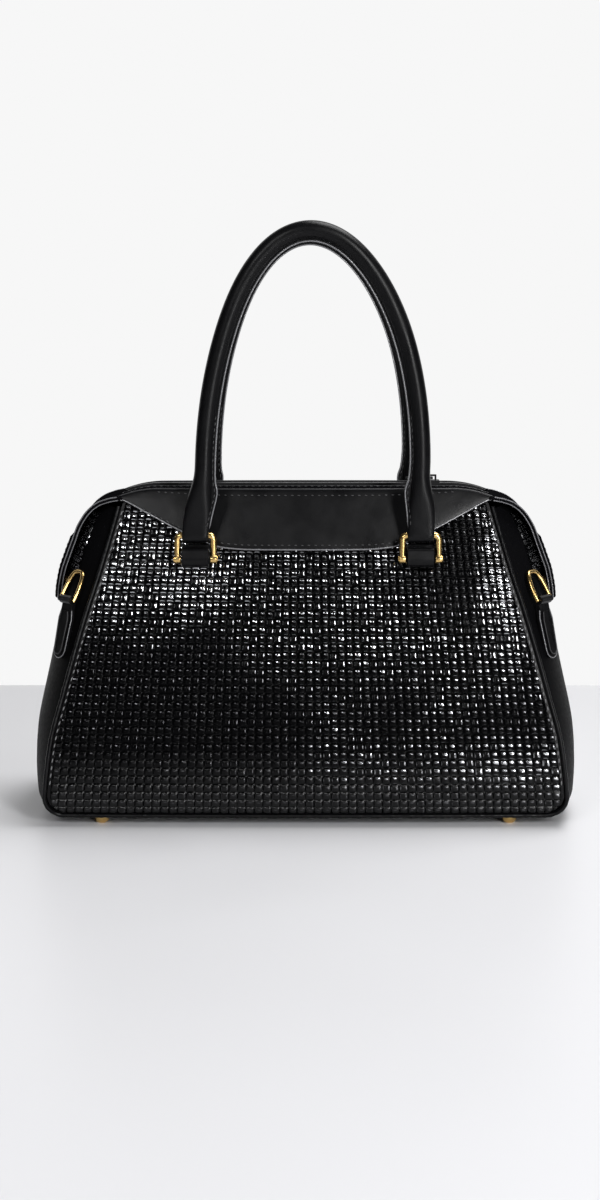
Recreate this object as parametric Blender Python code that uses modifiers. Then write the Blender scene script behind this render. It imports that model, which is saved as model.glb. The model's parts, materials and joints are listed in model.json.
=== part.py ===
"""Structured zip-top tote bag: woven panels, smooth leather trim, two rolled handles.

Metres, +Z up. The origin lies under the middle of the bag, on the surface that its four
feet stand on. The front faces -Y and +X is to the right of someone who looks at the front.
"""
import math

import bmesh
import bpy
from mathutils import Matrix, Vector

# Body
FOOT_HEIGHT = 0.0065
FOOT_SEAT_GAP = 0.0003
BODY_HEIGHT = 0.2140          # from the base to the shoulders of the side seams
MAX_HALF_WIDTH = 0.1800       # side seams at their widest, just above the base
MAX_HALF_DEPTH = 0.0760       # middle of a panel at its fullest
CORNER_RADIUS = 0.0140        # rounded lower corners of the panels
PANEL_ROW_POWER = 1.35        # closer rows towards the base of a panel
PANEL_RISE_POWER = 4          # how late a panel's rows rise to the crest line
CROWN_TOP = 0.0060            # how far a panel's side seams lie behind its middle
CROWN_BOTTOM = 0.0020
CROWN_POWER = 2.2
SHEET = 0.0020                # thickness of panels, gussets and base
FIT = 0.0003                  # gap between pieces that are sewn face to face
SEAT_GAP = 0.0005             # gap of a stiff piece on a curved leather wall

# Shares of the body height (0 at the base) with shares of the largest half depth
DEPTH_SHARES = ((0, 0.921), (0.025, 0.963), (0.057, 0.989), (0.100, 1.0), (0.178, 0.995),
                (0.295, 0.963), (0.436, 0.897), (0.575, 0.816), (0.715, 0.713),
                (0.855, 0.588), (1.040, 0.412))
# Shares of the body height with shares of the largest half width
WIDTH_SHARES = ((0.065, 1.0), (0.136, 0.991), (0.249, 0.972), (0.380, 0.931), (0.530, 0.882),
                (0.656, 0.838), (0.754, 0.800), (0.885, 0.754), (1.0, 0.716))

# Gussets: bulge of the side walls between the two panels
GUSSET_BULGE = 0.0180
GUSSET_POWER = 2.4
GUSSET_TOP_SHARE = 0.955      # share of the body height where a gusset ends under the shoulder
GUSSET_CORNER_SHARE = 0.25    # share of a gusset's rows that run round the lower corner
BULGE_SHARES = ((0, 0), (0.03, 0.28), (0.065, 0.60), (0.178, 0.80), (0.340, 0.94),
                (0.450, 1.0), (0.670, 1.04), (0.860, 1.08), (1.0, 0.80))
INSET_THICKNESS = 0.0012      # woven patch on the upper half of a gusset
INSET_LOW_DROP = 0.0546       # its edges below the top of the body
INSET_HIGH_DROP = 0.0128
INSET_WIDTH_SHARE = 0.66

PIPING_RADIUS = 0.0016
PIPING_TOP_SHARE = 0.975

# Closed top: crest line of the zip and how it falls towards the ends
CREST_ABOVE = 0.0108          # crest above the top of the body
CREST_FLAT = 0.1020
CREST_END = 0.1385
CREST_FALL = 0.0093
CREST_STATION_SHARE = 0.25    # share of the stations along the top that the flat part takes
PANEL_TOP_BELOW = 0.0056      # top edge of a panel below the crest line
YOKE_TOP_BELOW = 0.0021
PLACKET_SHEET = 0.0012
PLACKET_INNER = 0.0110        # half width of the slot between the two plackets
PLACKET_OUTER_DROP = 0.0030
PLACKET_INNER_DROP = 0.0016
PLACKET_DROP_POWER = 0.7
TAPE_SHEET = 0.0008
TAPE_TOP_BELOW = 0.0040
TAPE_OUTER = 0.0170
TAPE_INNER = 0.0006
TEETH_HEIGHT = 0.0034
TEETH_PITCH = 0.0029
TEETH_ROOT = 0.0014           # face of the bead that the teeth stand on, from the middle
TEETH_TIP = 0.0004            # how far a tooth reaches past the middle
TEETH_BACK = 0.0030
TOOTH_TIP_SHARE = 0.16        # width of a tooth's tip as a share of the pitch
TEETH_END = 0.1250
TAPE_END = 0.1290
PLACKET_END = 0.1303

# Yoke: smooth leather over the top of each panel
YOKE_SHEET = 0.0018
YOKE_END = 0.1300
YOKE_DROP = 0.0318            # lower edge in the middle, below the top of the body
YOKE_END_ABOVE = 0.0020       # lower edge at the ends, above the top of the body
# Shares of the yoke's half length with shares of the rise from its lowest edge to its ends
YOKE_SHARES = ((0, 0), (0.30, 0.006), (0.45, 0.05), (0.55, 0.17), (0.665, 0.37),
               (0.84, 0.71), (0.975, 0.97), (1.0, 1.0))

# Shoulders and side flaps: one leather strip that folds over each end of the zip
FLAP_SHEET = 0.0020
FLAP_JOINT_GAP = 0.0011
FLAP_DROP = 0.0786            # lowest point of the strip's line below the crest
FLAP_STANDOFF = 0.0096        # most that the strip stands out from the gusset's middle line
# Outside of the strip: shares of the drop with shares of the standoff
FLAP_LINE_SHARES = ((0.0737, -0.9635), (0.1070, -0.3876), (0.1426, 0.1610), (0.2010, 0.5925),
                    (0.2773, 0.8023), (0.3639, 0.8424), (0.4809, 0.7972), (0.6182, 0.8831),
                    (0.7520, 0.9711), (0.8854, 0.8915), (1.0001, 0.7024))
HINGE_POINT = 3               # point of the line where the strip bends when it is lifted
FLAP_HALF_WIDTH = 0.0285      # at the inner end of the shoulder
FLAP_WIDTH_SHARES = (1, 0.947, 0.877, 0.814, 0.765, 0.726, 0.695, 0.681, 0.667, 0.667, 0.667)
FLAP_DROOP_SHARES = (0.095, 0.085, 0.07, 0.05, 0.04, 0.03, 0.02, 0.01, 0, 0, 0)
FLAP_TIP_DROP = 0.0836        # lowest edge of the rounded flap below the crest
FLAP_ROWS_SHARE = 0.72        # rows above the rounded end, as a share of a piece's rows
PATCH_ROWS_SHARE = 0.62
PATCH_SHEET = 0.0018          # second layer on the flap, over the cap of its snap
PATCH_TOP_DROP = 0.0371       # below the crest
PATCH_MARGIN = 0.0028

# Snap fastener of a side flap
SNAP_DROP = 0.0676            # below the crest
SNAP_RADIUS = 0.0048
SNAP_SOCKET_DEPTH = 0.0032
SNAP_BORE_RADIUS = 0.0026
SNAP_BORE_DEPTH = 0.0020
SNAP_RIM_SHARES = (0.8, 0.6)  # bevel: shares of the radius and of the depth
STUD_RADIUS = 0.0048
STUD_FLANGE = 0.0010
STUD_KNOB_RADIUS = 0.0018
STUD_KNOB_HEIGHT = 0.0018
STUD_KNOB_SHARES = ((0.7, 1.0), (1.0, 0.6), (0.8, 0))
STUD_RIM_SHARES = (0.85, 0.5)
SEAT_LOW_SHARE = 0.60         # stretch of the gusset where the stud may sit
SEAT_HIGH_SHARE = 0.85
SEAT_STEPS = 100
SAMPLE_SHARE = 0.01           # step between two points that give a direction

# Handles and their shackles
PIN_STANDOFF = 0.0108         # from the outside of a panel to the middle of the pins
SHACKLE_SPAN = 0.1540         # between the middles of the two shackles of a side
SHACKLE_SHIFT = 0.0016
SHACKLE_WIRE = 0.0021         # radius of the bar
SHACKLE_HALF_WIDTH = 0.01235  # to the middle of its side bars
SHACKLE_BEND = 0.0040
SHACKLE_RISE = 0.0182         # top of a shackle above its pin
PIN_DROP = 0.0370             # pins below the top of the body
PIN_RADIUS = 0.0016
KNUCKLE_RADIUS = 0.0040
KNUCKLE_LENGTH = 0.0046
PIN_HEAD_RADIUS = 0.0027
PIN_HEAD_LENGTH = 0.0008
LOOP_WIDTH = 0.0184
CHAPE_RADIUS = 0.0056
CHAPE_ARC = 75                # degrees of the roll above and below its outermost line
RUNNING_GAP = 0.0003
CHAPE_TAIL_HALF = 0.0048
HANDLE_RADIUS = 0.0063
HANDLE_SPRING_RISE = 0.0451   # heights of the handle above the bars of its shackles
HANDLE_STEP_IN = 0.0031       # from a shackle's middle in to the round leg above it
HANDLE_APEX_RISE = 0.2060
HANDLE_LEAN = 0.0038
# Shares of the handle's rise with shares of the lean of its middle line
LEAN_SHARES = ((0, 0), (0.12, 0.45), (0.26, 0.85), (0.60, 1.0), (1.0, 0.45))
HANDLE_BASE_HALF = 0.0092
HANDLE_BASE_THICK = 0.0046    # half thickness of the flattened end
SHOULDER_HIGH_RISE = 0.0371   # where the round tube starts to widen
SHOULDER_LOW_RISE = 0.0281
FLAT_LOW_RISE = 0.0081
HANDLE_NOSE_SHARES = (0.97, 0.75, 0.35)
HANDLE_NECK_SHARE = 0.4
SQUARE_SHARES = (0.8, 0.4, 0.2)   # squareness of the sections from the flat end to the tube
SQUARE_POWER = 3

# D-rings on the gussets
RING_WIRE = 0.0013
RING_HALF_WIDTH = 0.0097
RING_HEIGHT = 0.0184
RING_WIDTH_POWER = 0.75
RING_HEIGHT_POWER = 0.85
RING_SHARE = 0.665            # share of the body height where the ring's bar sits
RING_SIDE_SHARE = -0.74       # share of the half depth, towards the front
RING_TURN = math.radians(38)
RING_LEAN = -math.radians(3.8)   # of the tongue from the gusset's slope, its tip resting there
RING_REST = math.radians(14.8)   # further lean of the ring itself, towards the gusset
RING_STANDOFF = 0.0074
TONGUE_LENGTH = 0.0420
TONGUE_HALF_WIDTH = 0.0080
TONGUE_SHEET = 0.0024
TONGUE_PAD = 0.0012
TONGUE_PAD_MARGIN = 0.0026
TONGUE_TIP_SHARE = 0.86       # tip radius as a share of the half width
NECK_SHARE = 2.2              # end of the neck, in radii of the loop
TONGUE_SHOULDER_SHARE = 4
PAD_MARGIN_SHARE = 0.4
RING_LOOP_WIDTH = 0.0130
RING_LOOP_SHEET = 0.0015

# Zip slider
SLIDER_PLACE = 0.0890
SLIDER_LENGTH = 0.0110
SLIDER_HALF_WIDTH = 0.0050
SLIDER_PLATE = 0.0012
SLIDER_FLANGE_INNER = 0.0034
BRIDGE_HALF_LENGTH = 0.0035
BRIDGE_WIRE = 0.0012
BRIDGE_WIDTH = 0.0024
PULL_AXIS_ABOVE = 0.0015      # pull's axis above the slider's top plate
PULL_SHEET = 0.0014
PULL_LENGTH = 0.0180
PULL_HALF_WIDTH = 0.0032
PULL_BAR = 0.0009
PULL_EYE_LENGTH = 0.0052
PULL_EYE_HALF = 0.0017

# Base and inside
BASE_SEAM = 0.0003
BOARD_SHEET = 0.0022
BOARD_FROM_END = 0.0240        # the board stops short of the widest part of the body
BOARD_FROM_SIDE = 0.0160
BOARD_CORNER = 0.0120
LINING_SHEET = 0.0008
LINING_GAP = 0.0008
LINING_TOP_BELOW = 0.0090
LINING_CORNER = 0.0120
# Lowest rings, shares of the corner radius: height, height where the walls are taken, inset
LINING_FOOT_SHARES = ((0, 0.45, 0.35), (0.4, 0.75, 0))
LINING_LEVELS = 5
FOOT_RADIUS = 0.0055
FOOT_FLAT_RADIUS = 0.0026
FOOT_FLANGE = 0.0012
FOOT_DOME_SHARES = ((0.93, 0.42), (0.78, 0.16))   # shares of the radius and of the height
FOOT_FROM_END = 0.0385
FOOT_FROM_SIDE = 0.0160

MERGE = 0.00001
SMOOTH_ANGLE = math.radians(40)
OVERRUN = 0.0010
ROUND_SIDES = 14
BORE_SIDES = 12
PIN_SIDES = 10
HANDLE_SIDES = 10
HANDLE_STEPS = 18

BASE_Z = FOOT_HEIGHT + FOOT_SEAT_GAP
BODY_TOP = BASE_Z + BODY_HEIGHT
BOARD_HALF_LENGTH = MAX_HALF_WIDTH - BOARD_FROM_END
BOARD_HALF_WIDTH = MAX_HALF_DEPTH - BOARD_FROM_SIDE
FOOT_X = MAX_HALF_WIDTH - FOOT_FROM_END
FOOT_Y = MAX_HALF_DEPTH - FOOT_FROM_SIDE
SEAM_INSET = PIPING_RADIUS + FIT
CREST_HEIGHT = BODY_TOP + CREST_ABOVE
YOKE_LOW = BODY_TOP - YOKE_DROP
YOKE_END_LOW = BODY_TOP + YOKE_END_ABOVE
PIN_HEIGHT = BODY_TOP - PIN_DROP
BAR_HEIGHT = PIN_HEIGHT + SHACKLE_RISE - SHACKLE_WIRE
HANDLE_HALF_SPAN = SHACKLE_SPAN / 2 - HANDLE_STEP_IN
HANDLE_SPRING_HEIGHT = BAR_HEIGHT + HANDLE_SPRING_RISE
HANDLE_APEX = BAR_HEIGHT + HANDLE_APEX_RISE
SHOULDER_HIGH = BAR_HEIGHT + SHOULDER_HIGH_RISE
SHOULDER_LOW = BAR_HEIGHT + SHOULDER_LOW_RISE
FLAT_LOW = BAR_HEIGHT + FLAT_LOW_RISE


def curve_through(table):
    """Smooth function through a table of (place, value) shares, flat slopes kept flat."""
    places = [p for p, _ in table]
    values = [v for _, v in table]
    steps = [(values[i + 1] - values[i]) / (places[i + 1] - places[i])
             for i in range(len(table) - 1)]
    slopes = [steps[0]]
    for before, after in zip(steps, steps[1:]):
        slopes.append(0 if before * after <= 0 else 2 * before * after / (before + after))
    slopes.append(steps[-1])

    def value(place):
        if place <= places[0]:
            return values[0] + slopes[0] * (place - places[0])
        if place >= places[-1]:
            return values[-1] + slopes[-1] * (place - places[-1])
        i = max(k for k in range(len(places) - 1) if places[k] <= place)
        width = places[i + 1] - places[i]
        t = (place - places[i]) / width
        return ((2 * t**3 - 3 * t**2 + 1) * values[i] + (t**3 - 2 * t**2 + t) * width * slopes[i]
                + (3 * t**2 - 2 * t**3) * values[i + 1] + (t**3 - t**2) * width * slopes[i + 1])

    return value


depth_share = curve_through(DEPTH_SHARES)
width_share = curve_through(WIDTH_SHARES)
bulge_share = curve_through(BULGE_SHARES)
yoke_share = curve_through(YOKE_SHARES)
lean_share = curve_through(LEAN_SHARES)


def height_share(z):
    return (z - BASE_Z) / BODY_HEIGHT


def height_at(share):
    return BASE_Z + share * BODY_HEIGHT


def half_width(z, inset=0):
    """Half width of a panel's outline at a height, moved in from the seam by inset."""
    corner_z = BASE_Z + CORNER_RADIUS
    if z >= corner_z:
        return MAX_HALF_WIDTH * width_share(max(height_share(z), WIDTH_SHARES[0][0])) - inset
    reach = (CORNER_RADIUS - inset) ** 2 - (corner_z - z) ** 2
    return MAX_HALF_WIDTH - CORNER_RADIUS + math.sqrt(max(reach, 0))


def seam_crown(x, z):
    share = min(max(height_share(z), 0), 1)
    crown = CROWN_BOTTOM + (CROWN_TOP - CROWN_BOTTOM) * share
    return crown * min(abs(x) / half_width(z), 1) ** CROWN_POWER


def panel_depth(x, z):
    """Distance of a panel's outside from the middle plane."""
    return MAX_HALF_DEPTH * depth_share(height_share(z)) - seam_crown(x, z)


HANDLE_PLANE = panel_depth(SHACKLE_SPAN / 2, PIN_HEIGHT) + PIN_STANDOFF


def crest_fall(x):
    past = max(abs(x) - CREST_FLAT, 0) / (CREST_END - CREST_FLAT)
    return CREST_FALL * past ** 2


def crest(x):
    return CREST_HEIGHT - crest_fall(x)


def along_crest(u, end):
    """Place along the top for a share u from 0 to 1, with most stations where it bends."""
    turn = 2 * u - 1
    flat = CREST_STATION_SHARE
    if abs(turn) <= flat:
        return CREST_FLAT * turn / flat
    past = (abs(turn) - flat) / (1 - flat)
    return math.copysign(CREST_FLAT + (end - CREST_FLAT) * past, turn)


def yoke_low(x):
    share = min(abs(x) / YOKE_END, 1)
    return YOKE_LOW + (YOKE_END_LOW - YOKE_LOW) * yoke_share(share)


def side_station(share):
    """Seam point, outward direction in XZ and gusset bulge at a share of the body height.

    Shares below zero run round the lower corner of the right side, -1 being its lower end.
    """
    if share >= WIDTH_SHARES[0][0]:
        z = height_at(share)
        step = BODY_HEIGHT * WIDTH_SHARES[0][0]
        slope = (half_width(z + step) - half_width(z)) / step
        normal = Vector((1, 0, -slope)).normalized()
        return Vector((half_width(z), 0, z)), normal, GUSSET_BULGE * bulge_share(share)
    turn = (WIDTH_SHARES[0][0] - share) / (WIDTH_SHARES[0][0] + 1) * math.pi / 2
    centre = Vector((MAX_HALF_WIDTH - CORNER_RADIUS, 0, BASE_Z + CORNER_RADIUS))
    normal = Vector((math.cos(turn), 0, -math.sin(turn)))
    bulge = GUSSET_BULGE * BULGE_SHARES[2][1] * math.cos(turn)
    return centre + normal * CORNER_RADIUS, normal, bulge


def gusset_point(share, across, lift=0):
    """Outside of the right gusset; across runs from -1 at the front seam to 1 at the rear."""
    seam, normal, bulge = side_station(share)
    half_depth = panel_depth(seam.x, seam.z) - SEAM_INSET - FIT
    rise = bulge * (1 - abs(across) ** GUSSET_POWER) + lift
    return seam + normal * rise + Vector((0, across * half_depth, 0))


# Blender helpers

def clear_scene():
    for item in list(bpy.data.objects):
        bpy.data.objects.remove(item, do_unlink=True)


def make_collection(name):
    group = bpy.data.collections.new(name)
    bpy.context.scene.collection.children.link(group)
    return group


def make_material(name, color, roughness, metallic=0):
    material = bpy.data.materials.new(name)
    material.use_nodes = True
    shader = material.node_tree.nodes["Principled BSDF"]
    shader.inputs["Base Color"].default_value = (*color, 1)
    shader.inputs["Roughness"].default_value = roughness
    shader.inputs["Metallic"].default_value = metallic
    return material


def woven(name):
    return make_material(name, (0.012, 0.012, 0.014), 0.28)


def smooth_leather(name):
    return make_material(name, (0.016, 0.016, 0.019), 0.46)


def brass(name):
    return make_material(name, (0.83, 0.62, 0.28), 0.22, 1)


def black_metal(name):
    return make_material(name, (0.02, 0.02, 0.022), 0.35, 0.8)


def cloth(name):
    return make_material(name, (0.035, 0.033, 0.035), 0.9)


def board(name):
    return make_material(name, (0.09, 0.085, 0.08), 0.8)


def add_object(name, data, finish, group=None):
    item = bpy.data.objects.new(name, data)
    (group or parts).objects.link(item)
    if finish:
        data.materials.append(finish(name))
    return item


def mesh_from(name, bm):
    mesh = bpy.data.meshes.new(name)
    bm.to_mesh(mesh)
    bm.free()
    mesh.shade_smooth()
    mesh.set_sharp_from_angle(angle=SMOOTH_ANGLE)
    return mesh


def sheet(name, columns, rows, surface, thickness, finish, outward):
    """Grid mapped through surface(u, v), shares from 0 to 1, thickened away from outward."""
    bm = bmesh.new()
    bmesh.ops.create_grid(bm, x_segments=columns, y_segments=rows, size=1)
    for vert in bm.verts:
        vert.co = surface((vert.co.x + 1) / 2, (vert.co.y + 1) / 2)
    bm.normal_update()
    facing = sum((face.normal * face.calc_area() for face in bm.faces), Vector())
    if facing.dot(outward) < 0:
        bmesh.ops.reverse_faces(bm, faces=bm.faces)
    item = add_object(name, mesh_from(name, bm), finish)
    wall = item.modifiers.new("Wall", 'SOLIDIFY')
    wall.thickness = thickness
    wall.offset = -1
    wall.use_even_offset = False
    return item


def tube(name, points, radius, finish, resolution=2, cyclic=False):
    """Round bar along a list of points."""
    curve = bpy.data.curves.new(name, 'CURVE')
    curve.dimensions = '3D'
    curve.bevel_depth = radius
    curve.bevel_resolution = resolution
    curve.use_fill_caps = True
    spline = curve.splines.new('POLY')
    spline.points.add(len(points) - 1)
    for target, point in zip(spline.points, points):
        target.co = (*point, 1)
    spline.use_cyclic_u = cyclic
    return add_object(name, curve, finish)


def outline_mesh(name, outlines, thickness):
    """Flat outline, with any holes, extruded by thickness about its own plane."""
    curve = bpy.data.curves.new(name, 'CURVE')
    curve.dimensions = '2D'
    curve.fill_mode = 'BOTH'
    curve.extrude = thickness / 2
    for outline in outlines:
        spline = curve.splines.new('POLY')
        spline.points.add(len(outline) - 1)
        for target, point in zip(spline.points, outline):
            target.co = (point[0], point[1], 0, 1)
        spline.use_cyclic_u = True
    guide = bpy.data.objects.new(name + "_outline", curve)
    bpy.context.scene.collection.objects.link(guide)
    evaluated = guide.evaluated_get(bpy.context.evaluated_depsgraph_get())
    mesh = bpy.data.meshes.new_from_object(evaluated)
    bpy.data.objects.remove(guide, do_unlink=True)
    bm = bmesh.new()
    bm.from_mesh(mesh)
    bmesh.ops.remove_doubles(bm, verts=bm.verts, dist=MERGE)
    bpy.data.meshes.remove(mesh)
    return bm


def outline_solid(name, outlines, thickness, finish, place, group=None):
    bm = outline_mesh(name, outlines, thickness)
    item = add_object(name, mesh_from(name, bm), finish, group)
    item.matrix_world = place
    return item


def turned(name, profile, finish, place, steps=ROUND_SIDES):
    """Solid of revolution about its own Z; the profile runs down its outer side."""
    bm = bmesh.new()
    verts = [bm.verts.new((r, 0, z)) for r, z in profile]
    for a, b in zip(verts, verts[1:]):
        bm.edges.new((a, b))
    mesh = bpy.data.meshes.new(name)
    bm.to_mesh(mesh)
    bm.free()
    item = add_object(name, mesh, finish)
    spin = item.modifiers.new("Turn", 'SCREW')
    spin.steps = steps
    spin.render_steps = steps
    spin.use_merge_vertices = True
    spin.merge_threshold = MERGE
    item.matrix_world = place
    return item


def rod(name, radius, length, finish, place, group=None, sides=BORE_SIDES):
    """Cylinder along its own Z, about its middle."""
    bm = bmesh.new()
    bmesh.ops.create_cone(bm, cap_ends=True, segments=sides, radius1=radius, radius2=radius,
                          depth=length)
    item = add_object(name, mesh_from(name, bm), finish, group)
    item.matrix_world = place
    return item


def carve(item, cutter, operation='DIFFERENCE'):
    cutter.hide_render = True
    cutter.display_type = 'WIRE'
    change = item.modifiers.new(operation.title(), 'BOOLEAN')
    change.operation = operation
    change.object = cutter


def frame_at(origin, x_axis, z_axis):
    """Placement with its own X and Z along the given directions."""
    x = Vector(x_axis).normalized()
    z = Vector(z_axis)
    z = (z - x * z.dot(x)).normalized()
    y = z.cross(x)
    turn = Matrix((x, y, z)).transposed().to_4x4()
    return Matrix.Translation(Vector(origin)) @ turn


def along_x(origin):
    return frame_at(origin, (0, 0, -1), (1, 0, 0))


def arc(centre, radius, start, end, steps):
    """Points of an arc, degrees, both ends included."""
    angles = [math.radians(start + (end - start) * i / steps) for i in range(steps + 1)]
    return [(centre[0] + radius * math.cos(a), centre[1] + radius * math.sin(a)) for a in angles]


# Woven panels, gussets, base and lining

def make_panel(name, side):
    """side is -1 at the front and 1 at the rear."""
    low = BASE_Z + SEAM_INSET
    high = height_at(1)

    def surface(u, v):
        share = v ** PANEL_ROW_POWER
        z_side = low + (high - low) * share
        x = (2 * u - 1) * half_width(z_side, SEAM_INSET)
        rise = CREST_HEIGHT - PANEL_TOP_BELOW - high
        z = z_side + (rise - crest_fall(x)) * share ** PANEL_RISE_POWER
        return Vector((x, side * panel_depth(x, z), z))

    sheet(name, 12, 11, surface, SHEET, woven, (0, side, 0))


def make_gusset(name, side):
    low = WIDTH_SHARES[0][0]
    corner = GUSSET_CORNER_SHARE

    def surface(u, v):
        if v > corner:
            share = low + (GUSSET_TOP_SHARE - low) * (v - corner) / (1 - corner)
        else:
            share = low + (low + 1) * (v - corner) / corner
        point = gusset_point(share, 2 * u - 1)
        return Vector((side * point.x, point.y, point.z))

    sheet(name, 8, 12, surface, SHEET, smooth_leather, (side, 0, 0))


def make_gusset_inset(name, side):
    def surface(u, v):
        share = height_share(BODY_TOP - INSET_LOW_DROP - (INSET_HIGH_DROP - INSET_LOW_DROP) * v)
        across = (2 * u - 1) * INSET_WIDTH_SHARE
        point = gusset_point(share, across, SEAT_GAP + INSET_THICKNESS)
        return Vector((side * point.x, point.y, point.z))

    sheet(name, 8, 4, surface, INSET_THICKNESS, woven, (side, 0, 0))


def make_base():
    end = MAX_HALF_WIDTH - CORNER_RADIUS - BASE_SEAM

    def surface(u, v):
        x = (2 * u - 1) * end
        y = (2 * v - 1) * (panel_depth(x, BASE_Z) - SEAM_INSET - FIT)
        return Vector((x, y, BASE_Z))

    sheet("base_panel", 8, 2, surface, SHEET, smooth_leather, (0, 0, -1))


def make_board():
    x = BOARD_HALF_LENGTH - BOARD_CORNER
    y = BOARD_HALF_WIDTH - BOARD_CORNER
    outline = (arc((x, y), BOARD_CORNER, 0, 90, 4) + arc((-x, y), BOARD_CORNER, 90, 180, 4)
               + arc((-x, -y), BOARD_CORNER, 180, 270, 4) + arc((x, -y), BOARD_CORNER, 270, 360, 4))
    z = BASE_Z + SHEET + FIT + BOARD_SHEET / 2
    outline_solid("base_board", [outline], BOARD_SHEET, board, Matrix.Translation((0, 0, z)))


def lining_ring(z):
    """Half sizes of the lining's outside at a height."""
    x = half_width(z) - SHEET - LINING_GAP
    y = panel_depth(half_width(z), z) - SHEET - LINING_GAP
    return x, y


def make_lining():
    """Open sack inside the panels, a stack of rounded rectangles from floor to mouth."""
    floor = BASE_Z + SHEET + FIT + BOARD_SHEET + FIT
    top = CREST_HEIGHT - crest_fall(half_width(height_at(1))) - LINING_TOP_BELOW
    levels = [(floor + CORNER_RADIUS * rise, floor + CORNER_RADIUS * measured, CORNER_RADIUS * inset)
              for rise, measured, inset in LINING_FOOT_SHARES]
    wall_foot = floor + CORNER_RADIUS
    for i in range(LINING_LEVELS + 1):
        z = wall_foot + (top - wall_foot) * i / LINING_LEVELS
        levels.append((z, z, 0))
    bm = bmesh.new()
    rings = []
    for z, measured, inset in levels:
        x, y = lining_ring(measured)
        x, y = x - inset, y - inset
        x0, y0 = x - LINING_CORNER, y - LINING_CORNER
        outline = (arc((x0, y0), LINING_CORNER, 0, 90, 3)
                   + arc((-x0, y0), LINING_CORNER, 90, 180, 3)
                   + arc((-x0, -y0), LINING_CORNER, 180, 270, 3)
                   + arc((x0, -y0), LINING_CORNER, 270, 360, 3))
        rings.append([bm.verts.new((px, py, z)) for px, py in outline])
    for lower, upper in zip(rings, rings[1:]):
        for i in range(len(lower)):
            j = (i + 1) % len(lower)
            bm.faces.new((lower[i], lower[j], upper[j], upper[i]))
    bm.faces.new(rings[0][::-1])
    item = add_object("lining", mesh_from("lining", bm), cloth)
    wall = item.modifiers.new("Wall", 'SOLIDIFY')
    wall.thickness = LINING_SHEET
    wall.offset = -1
    wall.use_even_offset = False


def make_piping(name, side):
    points = []
    for i in range(12):
        share = PIPING_TOP_SHARE + (WIDTH_SHARES[0][0] - PIPING_TOP_SHARE) * i / 11
        points.append(side_station(share)[0])
    for i in range(1, 6):
        points.append(side_station(WIDTH_SHARES[0][0] - (1 + WIDTH_SHARES[0][0]) * i / 5)[0])
    inner = MAX_HALF_WIDTH - CORNER_RADIUS
    for i in range(1, 4):
        points.append(Vector((inner * (1 - i / 3), 0, BASE_Z)))
    half = [Vector((p.x, side * panel_depth(p.x, p.z), p.z)) for p in points]
    other = [Vector((-p.x, p.y, p.z)) for p in reversed(half[:-1])]
    tube(name, half + other, PIPING_RADIUS, smooth_leather, 1)


# Top closure

def make_yoke(name, side):
    def surface(u, v):
        x = (2 * u - 1) * YOKE_END
        z = yoke_low(x) + (crest(x) - YOKE_TOP_BELOW - yoke_low(x)) * v
        return Vector((x, side * (panel_depth(x, z) + YOKE_SHEET + SEAT_GAP), z))

    sheet(name, 20, 3, surface, YOKE_SHEET, smooth_leather, (0, side, 0))


def make_placket(name, side):
    def surface(u, v):
        x = along_crest(u, PLACKET_END)
        outer = panel_depth(x, crest(x) - YOKE_TOP_BELOW) - FIT
        y = outer + (PLACKET_INNER - outer) * v
        drop = PLACKET_OUTER_DROP + (PLACKET_INNER_DROP - PLACKET_OUTER_DROP) * v ** PLACKET_DROP_POWER
        return Vector((x, side * y, crest(x) - drop))

    sheet(name, 16, 2, surface, PLACKET_SHEET, smooth_leather, (0, 0, 1))


def make_zip_tape(name, side):
    def surface(u, v):
        x = along_crest(u, TAPE_END)
        y = TAPE_INNER + (TAPE_OUTER - TAPE_INNER) * v
        return Vector((x, side * y, crest(x) - TAPE_TOP_BELOW))

    sheet(name, 16, 1, surface, TAPE_SHEET, cloth, (0, 0, 1))


def make_zip_teeth(name, side):
    """Comb of wedge teeth on a bead; the two combs mesh half a pitch apart."""
    count = int(2 * TEETH_END / TEETH_PITCH) - (1 if side > 0 else 0)
    start = -count * TEETH_PITCH / 2
    bm = bmesh.new()
    bmesh.ops.create_grid(bm, x_segments=count, y_segments=1, size=1)
    for vert in bm.verts:
        y = TEETH_ROOT if vert.co.y < 0 else TEETH_BACK
        vert.co = (start + (vert.co.x + 1) / 2 * count * TEETH_PITCH, side * y, 0)
    bm.edges.ensure_lookup_table()
    roots = [edge for edge in bm.edges
             if all(abs(abs(vert.co.y) - TEETH_ROOT) < MERGE for vert in edge.verts)]
    for edge in roots:
        middle = (edge.verts[0].co.x + edge.verts[1].co.x) / 2
        tooth = bmesh.ops.extrude_edge_only(bm, edges=[edge])["geom"]
        for vert in tooth:
            if isinstance(vert, bmesh.types.BMVert):
                vert.co.x = middle + (vert.co.x - middle) * TOOTH_TIP_SHARE
                vert.co.y = -side * TEETH_TIP
    for vert in bm.verts:
        vert.co.z = crest(vert.co.x) - (TAPE_TOP_BELOW - FIT - TEETH_HEIGHT)
    bm.normal_update()
    bmesh.ops.reverse_faces(bm, faces=[face for face in bm.faces if face.normal.z < 0])
    item = add_object(name, mesh_from(name, bm), black_metal)
    wall = item.modifiers.new("Wall", 'SOLIDIFY')
    wall.thickness = TEETH_HEIGHT
    wall.offset = -1
    wall.use_even_offset = False


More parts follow.
